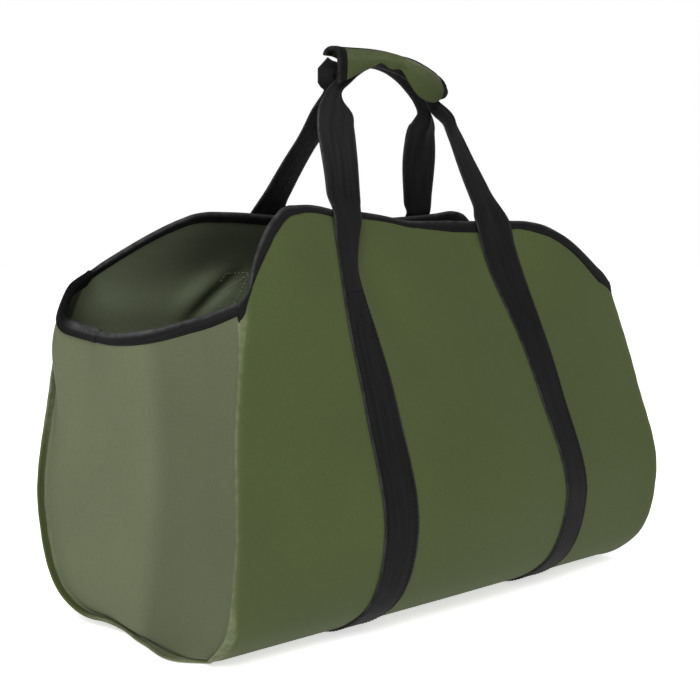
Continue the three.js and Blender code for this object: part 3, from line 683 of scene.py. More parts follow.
def make_sling(cloth):
    """The sling's skin: rows from the front edge under the bottom to the back edge, columns along the bag,
    which crowd together at the side seams."""
    rows, columns = SLING_GRID
    middle, ends = np.linspace(-SLING_MIDDLE, SLING_MIDDLE, columns), np.ones(len(SLING_SEAM))
    along = np.concatenate([-ends, middle, ends])
    shift = np.concatenate([SLING_SEAM, 0 * middle, -SLING_SEAM[::-1]])
    halves = []
    for face in FACES.values():
        girth = np.linspace(0, 1, rows)[:, None] * face.rim(along, shift)
        half = face.half_length(girth)
        x = along * half + shift
        order = slice(None, None, -1) if face is FRONT_FACE else slice(1, None)
        halves.append([a[order] for a in (*face.frame(x, girth), face.side * girth, half - np.abs(x))])
    point, normal, girth, edge = (np.concatenate(a) for a in zip(*halves))
    turn = bump(np.abs(girth), TURN_AT, TURN_WIDTH)
    thick = rolled(edge, BEAD + TURN_BEAD * turn, cloth)[..., None]
    uv = np.stack([point[..., 0], girth], -1)
    return sheet_wall(point, normal, thick), twice(uv), sling_fields(point[..., 0], girth, edge, turn)


def sling_fields(x, girth, edge, turn):
    """Where the sling is coated, how worn it is and where light and shade are painted on it, by the place
    along the bag, the girth, which is below zero in front, and the distance from the side edge. It is pale on
    its bead and where it turns up from the bottom, and has painted light on the border folded over at the
    left; inside, the coating ends at the seams and has painted shade, darkest high up."""
    width = smooth(TURNED_AT, TURNED_WIDTH, np.clip(-girth, TURNED_AT[0], TURNED_AT[-1]))
    # Painted light on the border folded over at the left, paler where it is wide
    folded_painted_light = ease(edge, width, width - FOLDED_SOFT) * (x < 0) * (girth < 0)
    folded_painted_light = folded_painted_light * (FOLDED_PAINTED_LIGHT + WIDE_PAINTED_LIGHT * ease(width, *WIDE_RANGE))
    under = ease(np.abs(girth), *UNDER_RANGE)
    lip = np.exp(-edge / BEAD_WEAR) + ease(edge, *UNDER_EDGE_RANGE) * under
    border = np.where(girth < 0, FRONT_BORDER, SEAM_LIP[BACK])
    inner_lip = ease(edge, border, border - 1) * (SEAM_WEAR * ease(girth, *SEAM_WEAR_RANGE) + under)
    # Painted shade inside the bag, with a painted shadow high up on the back over all but its left end
    drop = BACK_FACE.girth[-1] - girth
    shaded = SHADE * ease(x, *SHADE_ALONG_RANGE) * ease(drop, *SHADE_DROP_RANGE)
    tone_and_painted_shading = np.where(girth < 0, FRONT_INSIDE_SHADE, np.interp(drop, INSIDE_SHADING_AT, BACK_INSIDE_SHADING) * (1 - shaded))
    coated = edge > border
    return {
        "inside": both_faces(0 * edge, coated * 1.0),
        "wear_and_painted_light": both_faces(np.clip(lip + TURN_WEAR * turn, 0, 1) + folded_painted_light, inner_lip),
        "tone_and_painted_shading": both_faces(1 + 0 * edge, np.where(coated, tone_and_painted_shading, 1)),
    }


def make_end(panel, cloth):
    """An end panel's skin: rows from the bottom seam to the rim, columns from front to back, which crowd
    together at the side seams. It has painted shade in front of its crease and inside towards its back
    corner, and is pale at its seams."""
    rows, columns = END_GRID
    even = np.linspace(-1, 1, columns)
    q = (even + END_CROWDING * (np.sin(even * pi / 2) - even))[None]
    t = np.linspace(0, 1, rows)[:, None] ** END_POWER
    point, normal = panel.frame(q, t)
    q, t = np.broadcast_arrays(q, t)
    edge = panel.edge(q, t)
    # Painted shade in front of the crease, and inside the panel towards the back corner
    tone_and_painted_shading = END_PAINTED_SHADE + CREASE_SHADE_LIFT * ease(q - panel.crease(t), -CREASE_SOFT, CREASE_SOFT)
    corner = 1 - CORNER_PAINTED_SHADE * ease(q, *CORNER_SHADE_RANGE)
    fields = {
        "inside": both_faces(0 * edge, 1 + 0 * edge),
        "wear_and_painted_light": both_faces(np.exp(-edge / END_WEAR), 0 * edge),
        "tone_and_painted_shading": both_faces(tone_and_painted_shading, corner),
    }
    uv = np.stack([point[..., 1], t * PANEL_HEIGHT], -1)
    return sheet_wall(point, normal, cloth / 2), twice(uv), fields


def make_binding(surface, along, depth, cloth, tape, lapped=0, tone_and_painted_shading=1):
    """Skin of a tape folded over an edge, and the points and normals of the cloth under it. surface(along,
    depth) gives the cloth below its edge; the tape goes up one face, over the edge on half an ellipse and
    down the other. Its legs swell between the fold and the stitching, and lapped is the thickness of a second
    layer at each place along the edge. Its fold has a painted highlight, and the last argument makes the tape
    lighter or darker along the edge as painted light and shade."""
    near = cloth / 2 + TAPE_GAP
    stand = near + TAPE_STAND * tape
    angle = np.linspace(0, pi, TAPE_FOLD_COLUMNS)
    leg, bend = np.ones(len(TAPE_LEG)), np.ones(len(angle))
    drop = np.concatenate([TAPE_LEG, 0 * bend, TAPE_LEG[::-1]]) * np.reshape(depth, (-1, 1))
    side = np.concatenate([stand, (near + tape) * np.cos(angle), -stand[::-1]])
    rise = np.concatenate([0 * leg, (GAP + tape) * np.sin(angle), 0 * leg])
    under = np.concatenate([near * leg, near * np.cos(angle), -near * leg])
    lift = np.concatenate([0 * leg, TAPE_GAP * np.sin(angle), 0 * leg])
    along = along[:, None]
    step, down = np.ptp(along) / 4000, 0.5
    point = surface(along, drop)
    run = surface(along + step, drop) - surface(along - step, drop)
    fall = surface(along, drop + down) - point
    normal = unit(np.cross(run, fall))
    up = -unit(fall)
    more = np.broadcast_to(np.reshape(lapped, (-1, 1)), point.shape[:2])
    outer = point + normal * (side + more * np.clip(side / near, -1, 1))[..., None]
    outer = outer + up * (rise * (1 + more / (GAP + tape)))[..., None]
    inner = point + normal * under[None, :, None] + up * lift[None, :, None]
    wide = np.cumsum(np.append(0, np.hypot(np.diff(side), np.diff(rise - drop.mean(0)))))
    uv = np.stack(np.broadcast_arrays(wide[None], travel(point[:, len(leg)])[:, None]), -1)
    # Painted highlight along the tape's fold, made lighter or darker with the tape
    worn_and_lit = np.broadcast_to(bump(drop, 0, TAPE_FOLD_HIGHLIGHT), point.shape[:2])
    tone_and_painted_shading = np.reshape(tone_and_painted_shading, (-1, 1))
    fields = {"wear_and_painted_light": both_faces(worn_and_lit * tone_and_painted_shading, 0 * worn_and_lit), "tone_and_painted_shading": tone_and_painted_shading}
    return (both_faces(outer, inner), twice(uv), fields), point, normal


def strap_leg(face, end, across, width, thick, cloth, tape):
    """Grid of one strap's webbing on a face, from the middle of the bottom to the top edge. It follows the
    cloth and clears the tape at the edge, where its inner edge comes loose."""
    rim = float(face.rim(0.0, float(face.strap(end, face.girth[-1]))))
    girth = np.linspace(HALF_SLIT, rim, LEG_ROWS)[:, None]
    point, normal = face.frame(face.strap(end, girth) + end * across * width / 2, girth)
    over_tape = (tape + STRAP_OVER_TAPE) * ease(rim - girth, *OVER_TAPE_RANGE)
    loose = face.loose[end] * (1 - across) / 2 * ease(rim - girth, *LOOSE_RANGE)
    lift = (cloth + thick) / 2 + STRAP_GAP + over_tape + loose
    return point + normal * lift[..., None]


def free_handle(handle, across):
    """Grid of a handle's webbing free of the bag. Each section stands across the route, is cupped where it is
    open, and folds along its middle on a hyperbola, with the route halfway down the fold."""
    rows = np.array(handle, float)
    at = np.linspace(0, len(rows) - 1, HANDLE_ROWS)
    x, y, z, twist, fold, wide = smooth(np.arange(len(rows)), rows, at).T
    middle = np.stack([x, y, z], -1)
    tangent = unit(np.gradient(middle, axis=0))
    twist, fold = np.radians(twist), np.radians(fold)
    back = np.stack([np.sin(twist), np.cos(twist), 0 * twist], -1)
    back = unit(back - tangent * np.sum(back * tangent, -1, keepdims=True))
    out = np.cross(tangent, back)
    bend = np.hypot(across, BEND_ROUND) - BEND_MIDDLE
    cup = STRAP_CUP * (1 - across**2) * np.cos(fold)[:, None] ** 4
    spread = across * (wide / 2 * np.cos(fold))[:, None]
    deep = bend * (wide / 2 * np.sin(fold))[:, None] - cup
    return middle[:, None] + out[:, None] * spread[..., None] + back[:, None] * deep[..., None]


def make_strap(face, handle, width, thick, cloth, tape):
    """Skin of one handle's webbing from the middle of the bottom up a face, round the handle and down to the
    bottom again. Its edges are thin behind a raised selvedge. Above the bag it has painted light on the left
    in front and on the right at the back."""
    across = np.linspace(-1, 1, STRAP_COLUMNS)
    left, right = (strap_leg(face, end, across, width, thick, cloth, tape) for end in (LEFT, RIGHT))
    knots = np.concatenate([left, free_handle(handle, across), right[::-1]])
    length = travel(knots[:, len(across) // 2])
    stations = np.linspace(0, length[-1], int(length[-1] / STRAP_STEP))
    grid = smooth(length, knots, stations)
    beside = np.abs(across)
    half = thick / 2 * (1 - EDGE_THIN * beside**EDGE_POWER + bump(beside, *SELVEDGE))
    uv = np.stack(np.broadcast_arrays(across[None] * width / 2, stations[:, None]), -1)
    worn_and_lit = np.broadcast_to(bump(beside, 1, EDGE_WEAR), grid.shape[:2])
    # Painted light on the handle above the bag
    lit = ease(grid[..., 2], *LIT_HEIGHT_RANGE) * ease(face.side * grid[..., 0], *LIT_ALONG_RANGE)
    fields = {"wear_and_painted_light": twice(worn_and_lit), "tone_and_painted_shading": twice(1 + LIT * lit)}
    return sheet_wall(grid, grid_normals(grid), half[None, :, None]), twice(uv), fields


def make_grip(cloth):
    """The wrap's skin: rows along the bag, columns round it. It has painted highlights along its front and
    its ridge, and painted shade at the right."""
    rows, columns = GRIP_GRID
    x = np.linspace(GRIP_LEFT, GRIP_RIGHT, rows)[:, None]
    s = np.linspace(0, 1, columns)[None]
    point = grip_point(x, s)
    x, s = np.broadcast_arrays(x, s)
    # Painted highlights along the ridge and the front, and painted shade over the right
    pale = bump(s, *RIDGE_HIGHLIGHT) * ease(x, *RIDGE_HIGHLIGHT_RANGE) + bump(s, *GRIP_FRONT_HIGHLIGHT)
    tone_and_painted_shading = GRIP_TONE - GRIP_RIGHT_SHADE * ease(x, *GRIP_RIGHT_SHADE_RANGE)
    fields = {"inside": 0, "wear_and_painted_light": both_faces(pale, 0 * pale), "tone_and_painted_shading": twice(tone_and_painted_shading)}
    uv = np.stack([x, s * GRIP_ROUND], -1)
    return sheet_wall(point, grid_normals(point), cloth / 2), twice(uv), fields


def make_ridge_tape(cloth, tape):
    """Skin of the flat tape along the wrap's ridge, which moves from behind it towards the front at the
    right."""
    rows, columns = RIDGE_GRID
    along = np.linspace(RIDGE_LEFT, RIDGE_RIGHT, rows)[:, None]
    around = np.linspace(*RIDGE_AROUND, columns)[None] - RIDGE_MOVE * ease(along, *RIDGE_MOVE_RANGE)
    point = grip_point(along, around)
    normal = grid_normals(point)
    near = cloth / 2 + TAPE_GAP
    along, around = np.broadcast_arrays(along, around)
    sections = both_faces(point + normal * (near + tape), point + normal * near)
    return sections, twice(np.stack([around * GRIP_ROUND, along], -1)), {"wear_and_painted_light": 0, "tone_and_painted_shading": 1}


def stitch_rows(path, normal, length, radius):
    """Stitches along a path: each is a short thread, thickest in its middle, whose ends dip into the cloth.
    Gives the points of all of them and their quads."""
    far = travel(path)
    start = np.arange(0, far[-1] - length, length + STITCH_GAP)
    share = np.array([0.02, 0.33, 0.67, 0.98])
    fat = radius * np.array([0.35, 1, 1, 0.35])[None, :, None, None]
    dip = radius * np.array([-0.6, 0.7, 0.7, -0.6])[None, :, None]
    sides = 6
    place = start[:, None] + share * length
    line = np.stack([np.interp(place, far, path[:, k]) for k in range(3)], -1)
    out = unit(np.stack([np.interp(place, far, normal[:, k]) for k in range(3)], -1))
    run = unit(line[:, -1] - line[:, 0])[:, None]
    beside = unit(np.cross(run, out))
    ring = np.arange(sides) * 2 * pi / sides
    centre = (line + out * dip)[:, :, None]
    spoke = beside[:, :, None] * np.cos(ring)[:, None] + out[:, :, None] * np.sin(ring)[:, None]
    points = (centre + spoke * fat).reshape(-1, 3)
    first = len(share) * sides * np.arange(len(start))
    quads = skin_faces(len(share), sides)[None] + first[:, None, None]
    return points, quads.reshape(-1, 4)


def add_stitching(name, runs, length, radius, material, inside=0):
    """All the stitches of several paths in one piece. Those inside the bag have the coating's colour."""
    points, quads, count = [], [], 0
    for path, normal in runs:
        some, faces = stitch_rows(path, normal, length, radius)
        points.append(some)
        quads.append(faces + count)
        count += len(some)
    points, quads = np.concatenate(points), np.concatenate(quads)
    fields = {"wear_and_painted_light": 0, "tone_and_painted_shading": 1 + STITCH_LIGHT * inside, "inside": inside}
    return add_mesh(name, points, quads, points[:, :2], fields, material)


def strap_runs(face, end, width, lift):
    """Paths of the stitching of one strap at a height over the cloth, which is below zero inside the bag:
    rows by both edges up to a box with a cross in it, below the top edge."""
    reach = width / 2 - STITCH_INSET
    low, high = face.girth[-1] - BOX_LOW, face.girth[-1] - BOX_HIGH
    row, box = np.linspace(STITCH_START, high, 160), np.linspace(-1, 1, 20)
    lines = [(side * reach + 0 * row, row) for side in (-1, 1)]
    lines += [(box * reach, girth + 0 * box) for girth in (low, high)]
    lines += [(side * box * reach, (low + high) / 2 + (high - low) / 2 * box) for side in (-1, 1)]
    runs = []
    for beside, girth in lines:
        point, normal = face.frame(face.strap(end, girth) + beside, girth)
        runs.append((point + normal * lift, normal * np.sign(lift)))
    return runs


class Finish:
    """Builds the nodes of one material. A value that is a socket is linked and any other is set."""

    def __init__(self, name, **sockets):
        self.material = bpy.data.materials.new(name)
        self.material.use_nodes = True
        self.tree = self.material.node_tree
        self.tree.nodes.clear()
        self.shader = self.node("BsdfPrincipled", {}, **sockets)
        self.node("OutputMaterial", {}, Surface=self.shader.outputs["BSDF"])

    def put(self, socket, value):
        """Link or set one input."""
        if isinstance(value, bpy.types.NodeSocket):
            self.tree.links.new(value, socket)
        else:
            socket.default_value = value

    def node(self, kind, settings, **sockets):
        """A node with its settings; an input's name has _ for each space."""
        node = self.tree.nodes.new("ShaderNode" + kind)
        for key, value in settings.items():
            setattr(node, key, value)
        for key, value in sockets.items():
            self.put(node.inputs[key.replace("_", " ")], value)
        return node

    def math(self, operation, *values):
        """A sum on one or two values."""
        node = self.node("Math", {"operation": operation})
        for socket, value in zip(node.inputs, values):
            self.put(socket, value)
        return node.outputs[0]

    def times(self, first, *others):
        """The product of two or more values."""
        for value in others:
            first = self.math("MULTIPLY", first, value)
        return first

    def wave(self, value):
        """Half sine waves, one for each whole number."""
        return self.math("ABSOLUTE", self.math("SINE", self.times(value, pi)))

    def ramp(self, value, given, wanted):
        """A value eased from one range to another."""
        node = self.node("MapRange", {"interpolation_type": "SMOOTHSTEP"}, Value=value)
        for key, number in zip(("From Min", "From Max", "To Min", "To Max"), (*given, *wanted)):
            node.inputs[key].default_value = number
        return node.outputs["Result"]

    def blend(self, factor, one, two):
        """Two colours mixed by a factor."""
        node = self.node("Mix", {"data_type": "RGBA", "clamp_factor": True})
        for index, value in ((0, factor), (6, one), (7, two)):
            self.put(node.inputs[index], value)
        return node.outputs[2]

    def scaled(self, colour, amount):
        """A colour made lighter or darker by an amount."""
        node = self.node("VectorMath", {"operation": "SCALE"}, Scale=amount)
        self.put(node.inputs[0], colour if isinstance(colour, bpy.types.NodeSocket) else colour[:3])
        return node.outputs[0]

    def noise(self, scale, detail, vector=None):
        """Clouds on the piece's own coordinates or a vector, 0 to 1."""
        vector = vector or self.node("TexCoord", {}).outputs["Object"]
        node = self.node("TexNoise", {}, Vector=vector, Scale=scale, Detail=detail)
        return node.outputs["Fac"]

    def threads(self):
        """The two coordinates of the cloth, in metres along its threads."""
        uv = self.node("UVMap", {"uv_map": "cloth"}).outputs["UV"]
        split = self.node("SeparateXYZ", {}, Vector=uv)
        return split.outputs["X"], split.outputs["Y"]

    def field(self, name):
        """One number stored on the piece's points."""
        return self.node("Attribute", {"attribute_name": name}).outputs["Fac"]

    def bump(self, height, strength, distance, normal=None):
        """Relief from a height, on top of other relief."""
        node = self.node("Bump", {}, Height=height, Strength=strength, Distance=distance)
        if normal:
            self.put(node.inputs["Normal"], normal)
        return node.outputs["Normal"]

    def finish(self, colour, roughness, normal):
        """Joins the colour, roughness and relief to the shader."""
        for key, value in (("Base Color", colour), ("Roughness", roughness), ("Normal", normal)):
            self.put(self.shader.inputs[key], value)
        return self.material


def rgba(colour):
    """A colour with full alpha."""
    return (*colour, 1.0)


def cloth_finish(name, colour, inside, worn_and_lit, pitch):
    """Coated canvas: plain weave of over and under threads, cloudy colour, and pale wear on the edges, with
    the painted light and shade that the pieces carry.
    """
    made = Finish(
        name,
        Sheen_Weight=0.03,
        Sheen_Roughness=0.45,
        Sheen_Tint=(0.86, 0.9, 0.72, 1),
        Specular_IOR_Level=0.12,
    )
    warp, weft = (made.math("SINE", made.times(thread, pi / pitch)) for thread in made.threads())
    over = made.ramp(made.times(warp, weft), (-0.35, 0.35), (0, 1))
    raised = made.times(made.math("ABSOLUTE", warp), over)
    lowered = made.times(made.math("ABSOLUTE", weft), made.math("SUBTRACT", 1, over))
    weave = made.math("ADD", raised, lowered)
    clouds = made.noise(scale=7, detail=3)
    # The pieces' painted light and shade scale the colour here
    shade = made.times(
        made.ramp(clouds, (0.25, 0.75), (0.94, 1.06)),
        made.ramp(weave, (0, 1), (0.9, 1.07)),
        made.ramp(made.noise(scale=420, detail=2), (0.2, 0.8), (0.95, 1.05)),
        made.field("tone_and_painted_shading"),
    )
    base = made.blend(made.field("inside"), rgba(colour), rgba(inside))
    patchy = made.ramp(made.noise(scale=160, detail=3), (0.3, 0.7), (0.35, 0.8))
    base = made.blend(made.times(made.field("wear_and_painted_light"), patchy), base, rgba(worn_and_lit))
    relief = made.bump(made.noise(scale=90, detail=3), strength=0.12, distance=0.0006)
    relief = made.bump(weave, strength=0.35, distance=0.00025, normal=relief)
    return made.finish(made.scaled(base, shade), made.ramp(clouds, (0.2, 0.8), (0.74, 0.88)), relief)


def webbing_finish(name, colour, column_width, rib_length):
    """Woven webbing: rows of short ribs, every other column moved by half a rib, with faint streaks along
    its length and paler edges, and the painted light and shade that the pieces carry."""
    made = Finish(
        name,
        Sheen_Weight=0.012,
        Sheen_Roughness=0.4,
        Sheen_Tint=(0.8, 0.82, 0.85, 1),
        Specular_IOR_Level=0.05,
    )
    x, y = made.threads()
    column = made.times(x, 1 / column_width)
    odd = made.math("MODULO", made.math("ABSOLUTE", made.math("FLOOR", column)), 2)
    row = made.math("ADD", made.times(y, 1 / rib_length), made.times(odd, 0.5))
    weave = made.times(*(made.math("POWER", made.wave(place), 0.6) for place in (column, row)))
    clouds = made.noise(scale=14, detail=3)
    drawn_out = made.node("CombineXYZ", {}, X=x, Y=made.times(y, 0.04)).outputs[0]
    # The pieces' painted light and shade scale the colour here
    shade = made.times(
        made.ramp(weave, (0, 1), (0.6, 1.25)),
        made.ramp(clouds, (0.25, 0.75), (0.9, 1.12)),
        made.ramp(made.noise(scale=260, detail=2, vector=drawn_out), (0.3, 0.7), (0.75, 1.25)),
        made.field("tone_and_painted_shading"),
    )
    patchy = made.ramp(made.noise(scale=120, detail=3), (0.3, 0.7), (0.3, 0.9))
    pale = rgba(3 * c + 0.02 for c in colour)
    base = made.blend(made.times(made.field("wear_and_painted_light"), patchy), rgba(colour), pale)
    rough = made.ramp(made.math("ADD", clouds, made.times(weave, 0.2)), (0.3, 0.9), (0.55, 0.75))
    relief = made.bump(weave, strength=0.5, distance=0.0004)
    return made.finish(made.scaled(base, shade), rough, relief)


class CARRIER_PG_cloth(bpy.types.PropertyGroup):
    """Canvas of the sling, the end panels and the grip"""

    colour: bpy.props.FloatVectorProperty(
        name="Outside Colour",
        description="Colour of the sling's and the grip's canvas",
        subtype="COLOR", size=3, min=0, max=1, default=(0.042, 0.0555, 0.0183),
    )
    # The olive canvas painted paler and greyer, as painted light and sheen on the end panels
    painted_light_end_colour: bpy.props.FloatVectorProperty(
        name="End Colour With Painted Light",
        description="Colour of the end panels' canvas",
        subtype="COLOR", size=3, min=0, max=1, default=(0.086, 0.0975, 0.0535),
    )
    inside_colour: bpy.props.FloatVectorProperty(
        name="Inside Colour",
        description="Colour of the coating inside the bag",
        subtype="COLOR", size=3, min=0, max=1, default=(0.185, 0.216, 0.135),
    )
    # Also painted on as light on the sling's border folded over at the left and as highlights on the grip
    worn_and_lit_colour: bpy.props.FloatVectorProperty(
        name="Worn and Lit Colour",
        description="Colour of the canvas where it is folded at the seams",
        subtype="COLOR", size=3, min=0, max=1, default=(0.110, 0.121, 0.068),
    )
    thickness: bpy.props.FloatProperty(
        name="Thickness",
        description="Thickness of the canvas",
        unit="LENGTH", precision=4, default=CLOTH * MM,
    )
    thread_pitch: bpy.props.FloatProperty(
        name="Thread Pitch",
        description="Distance between neighbouring threads of the canvas",
        unit="LENGTH", precision=5, default=0.0008,
    )


class CARRIER_PG_trim(bpy.types.PropertyGroup):
    """Webbing, binding tape and thread"""

    webbing_colour: bpy.props.FloatVectorProperty(
        name="Webbing Colour",
        description="Colour of the handles' webbing",
        subtype="COLOR", size=3, min=0, max=1, default=(0.0062, 0.0064, 0.0062),
    )
    webbing_width: bpy.props.FloatProperty(
        name="Webbing Width",
        description="Width of the handles' webbing",
        unit="LENGTH", precision=4, default=0.038,
    )
    webbing_thickness: bpy.props.FloatProperty(
        name="Webbing Thickness",
        description="Thickness of the handles' webbing",
        unit="LENGTH", precision=4, default=0.0016,
    )
    tape_colour: bpy.props.FloatVectorProperty(
        name="Tape Colour",
        description="Colour of the tape that binds the edges",
        subtype="COLOR", size=3, min=0, max=1, default=(0.0062, 0.0064, 0.0062),
    )
    tape_depth: bpy.props.FloatProperty(
        name="Tape Depth",
        description="How far the folded tape reaches down each face",
        unit="LENGTH", precision=4, default=0.010,
    )
    tape_thickness: bpy.props.FloatProperty(
        name="Tape Thickness",
        description="Thickness of the binding tape",
        unit="LENGTH", precision=4, default=0.001,
    )
    stitch_length: bpy.props.FloatProperty(
        name="Stitch Length",
        description="Length of one stitch",
        unit="LENGTH", precision=4, default=0.0034,
    )


class CARRIER_PG_stage(bpy.types.PropertyGroup):
    """Floor, lights and camera"""

    floor_colour: bpy.props.FloatVectorProperty(
        name="Floor Colour",
        description="Colour of the floor",
        subtype="COLOR", size=3, min=0, max=1, default=(0.93, 0.93, 0.93),
    )
    glow: bpy.props.FloatProperty(
        name="Floor Glow",
        description="Light that the floor gives itself, so that it is as white as the surroundings",
        subtype="FACTOR", default=0.62,
    )
    sky: bpy.props.FloatProperty(
        name="Surrounding Light",
        description="Brightness of the light from the white surroundings",
        subtype="FACTOR", default=0.42,
    )
    key_power: bpy.props.FloatProperty(
        name="Key Light",
        description="Power of the large light on the left",
        unit="POWER", default=71,
    )
    fill_power: bpy.props.FloatProperty(
        name="Fill Light",
        description="Power of the large light in front",
        unit="POWER", default=2,
    )
    top_power: bpy.props.FloatProperty(
        name="Top Light",
        description="Strength of the soft light from above",
        default=0.8,
    )
    focal_length: bpy.props.FloatProperty(
        name="Focal Length",
        description="Focal length of the camera",
        subtype="DISTANCE_CAMERA", default=72,
    )


def shared_finish(name, make, *values):
    """A material by its name, made the first time it is asked for."""
    return bpy.data.materials.get(name) or make(name, *values)


def canvas(context, name="olive canvas", colour=None):
    """The canvas in one of its colours."""
    cloth = context.scene.carrier_cloth
    colour = tuple(colour or cloth.colour)
    inside, worn_and_lit = tuple(cloth.inside_colour), tuple(cloth.worn_and_lit_colour)
    return shared_finish(name, cloth_finish, colour, inside, worn_and_lit, cloth.thread_pitch)


def tape(context):
    """The binding tape's finish."""
    colour = tuple(context.scene.carrier_trim.tape_colour)
    return shared_finish("black tape", webbing_finish, colour, *TAPE_WEAVE)


def webbing(context):
    """The handles' webbing's finish."""
    colour = tuple(context.scene.carrier_trim.webbing_colour)
    return shared_finish("black webbing", webbing_finish, colour, *WEBBING_WEAVE)


class CARRIER_OT_sling(bpy.types.Operator):
    """Add the sling, one canvas that is the front, the bottom and the back"""

    bl_idname = "carrier.sling"
    bl_label = "Sling"

    def execute(self, context):
        skin = make_sling(context.scene.carrier_cloth.thickness / MM)
        piece = add_skin("sling_cloth", skin, canvas(context), "sling_panel")
        return {"FINISHED"}


class CARRIER_OT_ends(bpy.types.Operator):
    """Add the two end panels"""

    bl_idname = "carrier.ends"
    bl_label = "End Panels"

    def execute(self, context):
        cloth = context.scene.carrier_cloth
        # The end panels' canvas, painted paler as painted light and sheen on the ends
        finish = canvas(context, "end canvas", cloth.painted_light_end_colour)
        for name, panel in ENDS.items():
            skin = make_end(panel, cloth.thickness / MM)
            piece = add_skin(f"end_cloth_{name}", skin, finish, f"end_panel_{name}")
        return {"FINISHED"}


class CARRIER_OT_bindings(bpy.types.Operator):
    """Add the tape on the rims, with its stitching"""

    bl_idname = "carrier.bindings"
    bl_label = "Rim Bindings"

    def execute(self, context):
        trim, cloth = context.scene.carrier_trim, context.scene.carrier_cloth.thickness / MM
        depth, thick = trim.tape_depth / MM, trim.tape_thickness / MM
        finish = tape(context)
        edges = []
        for name, face in FACES.items():
            left, right = (face.rim_end(end, RIM_PAST) for end in (LEFT, RIGHT))
            share = np.sin(np.linspace(-1, 1, RIM_ROWS) * RIM_CROWDING) / np.sin(RIM_CROWDING)
            along = (left + right) / 2 + (right - left) / 2 * share
            reach = np.interp(along, TAPE_AT, TAPE_REACH) if face is FRONT_FACE else BACK_REACH * depth
            edges.append((f"rim_tape_{name}", f"{name}_rim_binding", face, along, reach, 0, 1))
        for name, panel in ENDS.items():
            along = np.linspace(-END_TAPE_TO, END_TAPE_TO, END_TAPE_ROWS)
            lapped = TAPE_LAP * thick * ease(along, *LAP_RANGE)
            # Painted light on the end tape, and painted shade over its stretch at the back
            tone_and_painted_shading = END_TAPE_PAINTED_LIGHT - END_TAPE_PAINTED_SHADE * ease(along, *END_TAPE_SHADE_RANGE)
            edges.append((f"end_tape_{name}", f"end_rim_binding_{name}", panel, along, depth, lapped, tone_and_painted_shading))
        runs = []
        height = cloth / 2 + TAPE_GAP + TAPE_STAND[STITCHED] * thick
        for name, node, bound, along, reach, lapped, tone_and_painted_shading in edges:
            skin, point, normal = make_binding(bound.from_rim, along, reach, cloth, thick, lapped, tone_and_painted_shading)
            add_skin(name, skin, finish, node)
            for column, way in ((STITCHED, 1), (-1 - STITCHED, -1)):
                outwards = normal[:, column] * way
                runs.append((point[:, column] + outwards * height, outwards))
        add_stitching("rim_stitching", runs, trim.stitch_length / MM, TAPE_THREAD, finish)
        return {"FINISHED"}


class CARRIER_OT_handles(bpy.types.Operator):
    """Add the two handles' webbing, with its stitching to the sling"""

    bl_idname = "carrier.handles"
    bl_label = "Webbing Handles"

    def execute(self, context):
        trim, cloth = context.scene.carrier_trim, context.scene.carrier_cloth.thickness / MM
        width, thick = trim.webbing_width / MM, trim.webbing_thickness / MM
        length, finish = trim.stitch_length / MM, webbing(context)
        above, below = cloth / 2 + STRAP_GAP + thick + STITCH_LIFT, -cloth / 2 - STITCH_LIFT
        outer, inner = [], []
        for (name, face), handle in zip(FACES.items(), (FRONT_HANDLE, BACK_HANDLE)):
            for end in (LEFT, RIGHT):
                outer += strap_runs(face, end, width, above)
                inner += strap_runs(face, end, width, below)
            skin = make_strap(face, handle, width, thick, cloth, trim.tape_thickness / MM)
            add_skin(f"handle_webbing_{name}", skin, finish, f"{name}_strap")
        add_stitching("strap_stitching", outer, length, STRAP_THREAD, finish)
        add_stitching("inside_stitching", inner, length, STRAP_THREAD, canvas(context), 1)
        return {"FINISHED"}


class CARRIER_OT_grip(bpy.types.Operator):
    """Add the wrapped grip with its bound edges"""

    bl_idname = "carrier.grip"
    bl_label = "Wrapped Grip"

    def execute(self, context):
        cloth = context.scene.carrier_cloth.thickness / MM
        thick = context.scene.carrier_trim.tape_thickness / MM
        piece = add_skin("grip_wrap", make_grip(cloth), canvas(context), "handle_grip")
        finish = tape(context)
        around = np.linspace(*GRIP_TAPE_AROUND, GRIP_TAPE_ROWS)
        for name, end, slope in GRIP_TAPES:

            def surface(around, drop, end=end, slope=slope):
                """The wrap's cloth at a drop from its end edge, which the slope takes along the bag."""
                return grip_point(end + slope * drop, around)

            skin, *_ = make_binding(surface, around, GRIP_TAPE_REACH, cloth, thick, tone_and_painted_shading=GRIP_TAPE_TONE)
            add_skin(f"grip_tape_{name}", skin, finish, f"grip_binding_{name}")
        skin = make_ridge_tape(cloth, thick)
        add_skin("grip_tape_ridge", skin, finish, "grip_edge_binding")
        return {"FINISHED"}


def add_floor(stage):
    """A wide white floor, a square with one face."""
    side = np.linspace(-FLOOR_REACH, FLOOR_REACH, 2)
    x, y = np.meshgrid(side, side)
    mesh = bpy.data.meshes.new("floor")
    corners = np.stack([x.ravel(), y.ravel(), 0 * x.ravel()], -1)
    mesh.from_pydata(corners.tolist(), [], [(0, 1, 3, 2)])
    white = Finish(
        "pale floor",
        Specular_IOR_Level=0.2,
        Emission_Color=(1, 1, 1, 1),
        Emission_Strength=stage.glow,
    )
    tint = white.ramp(white.noise(scale=3, detail=2), (0.3, 0.7), (0.995, 1.005))
    relief = white.bump(white.noise(scale=40, detail=2), strength=0.02, distance=0.0005)
    mesh.materials.append(white.finish(white.scaled(rgba(stage.floor_colour), tint), 0.8, relief))
    ground = bpy.data.objects.new("floor", mesh)
    bpy.context.scene.collection.objects.link(ground)


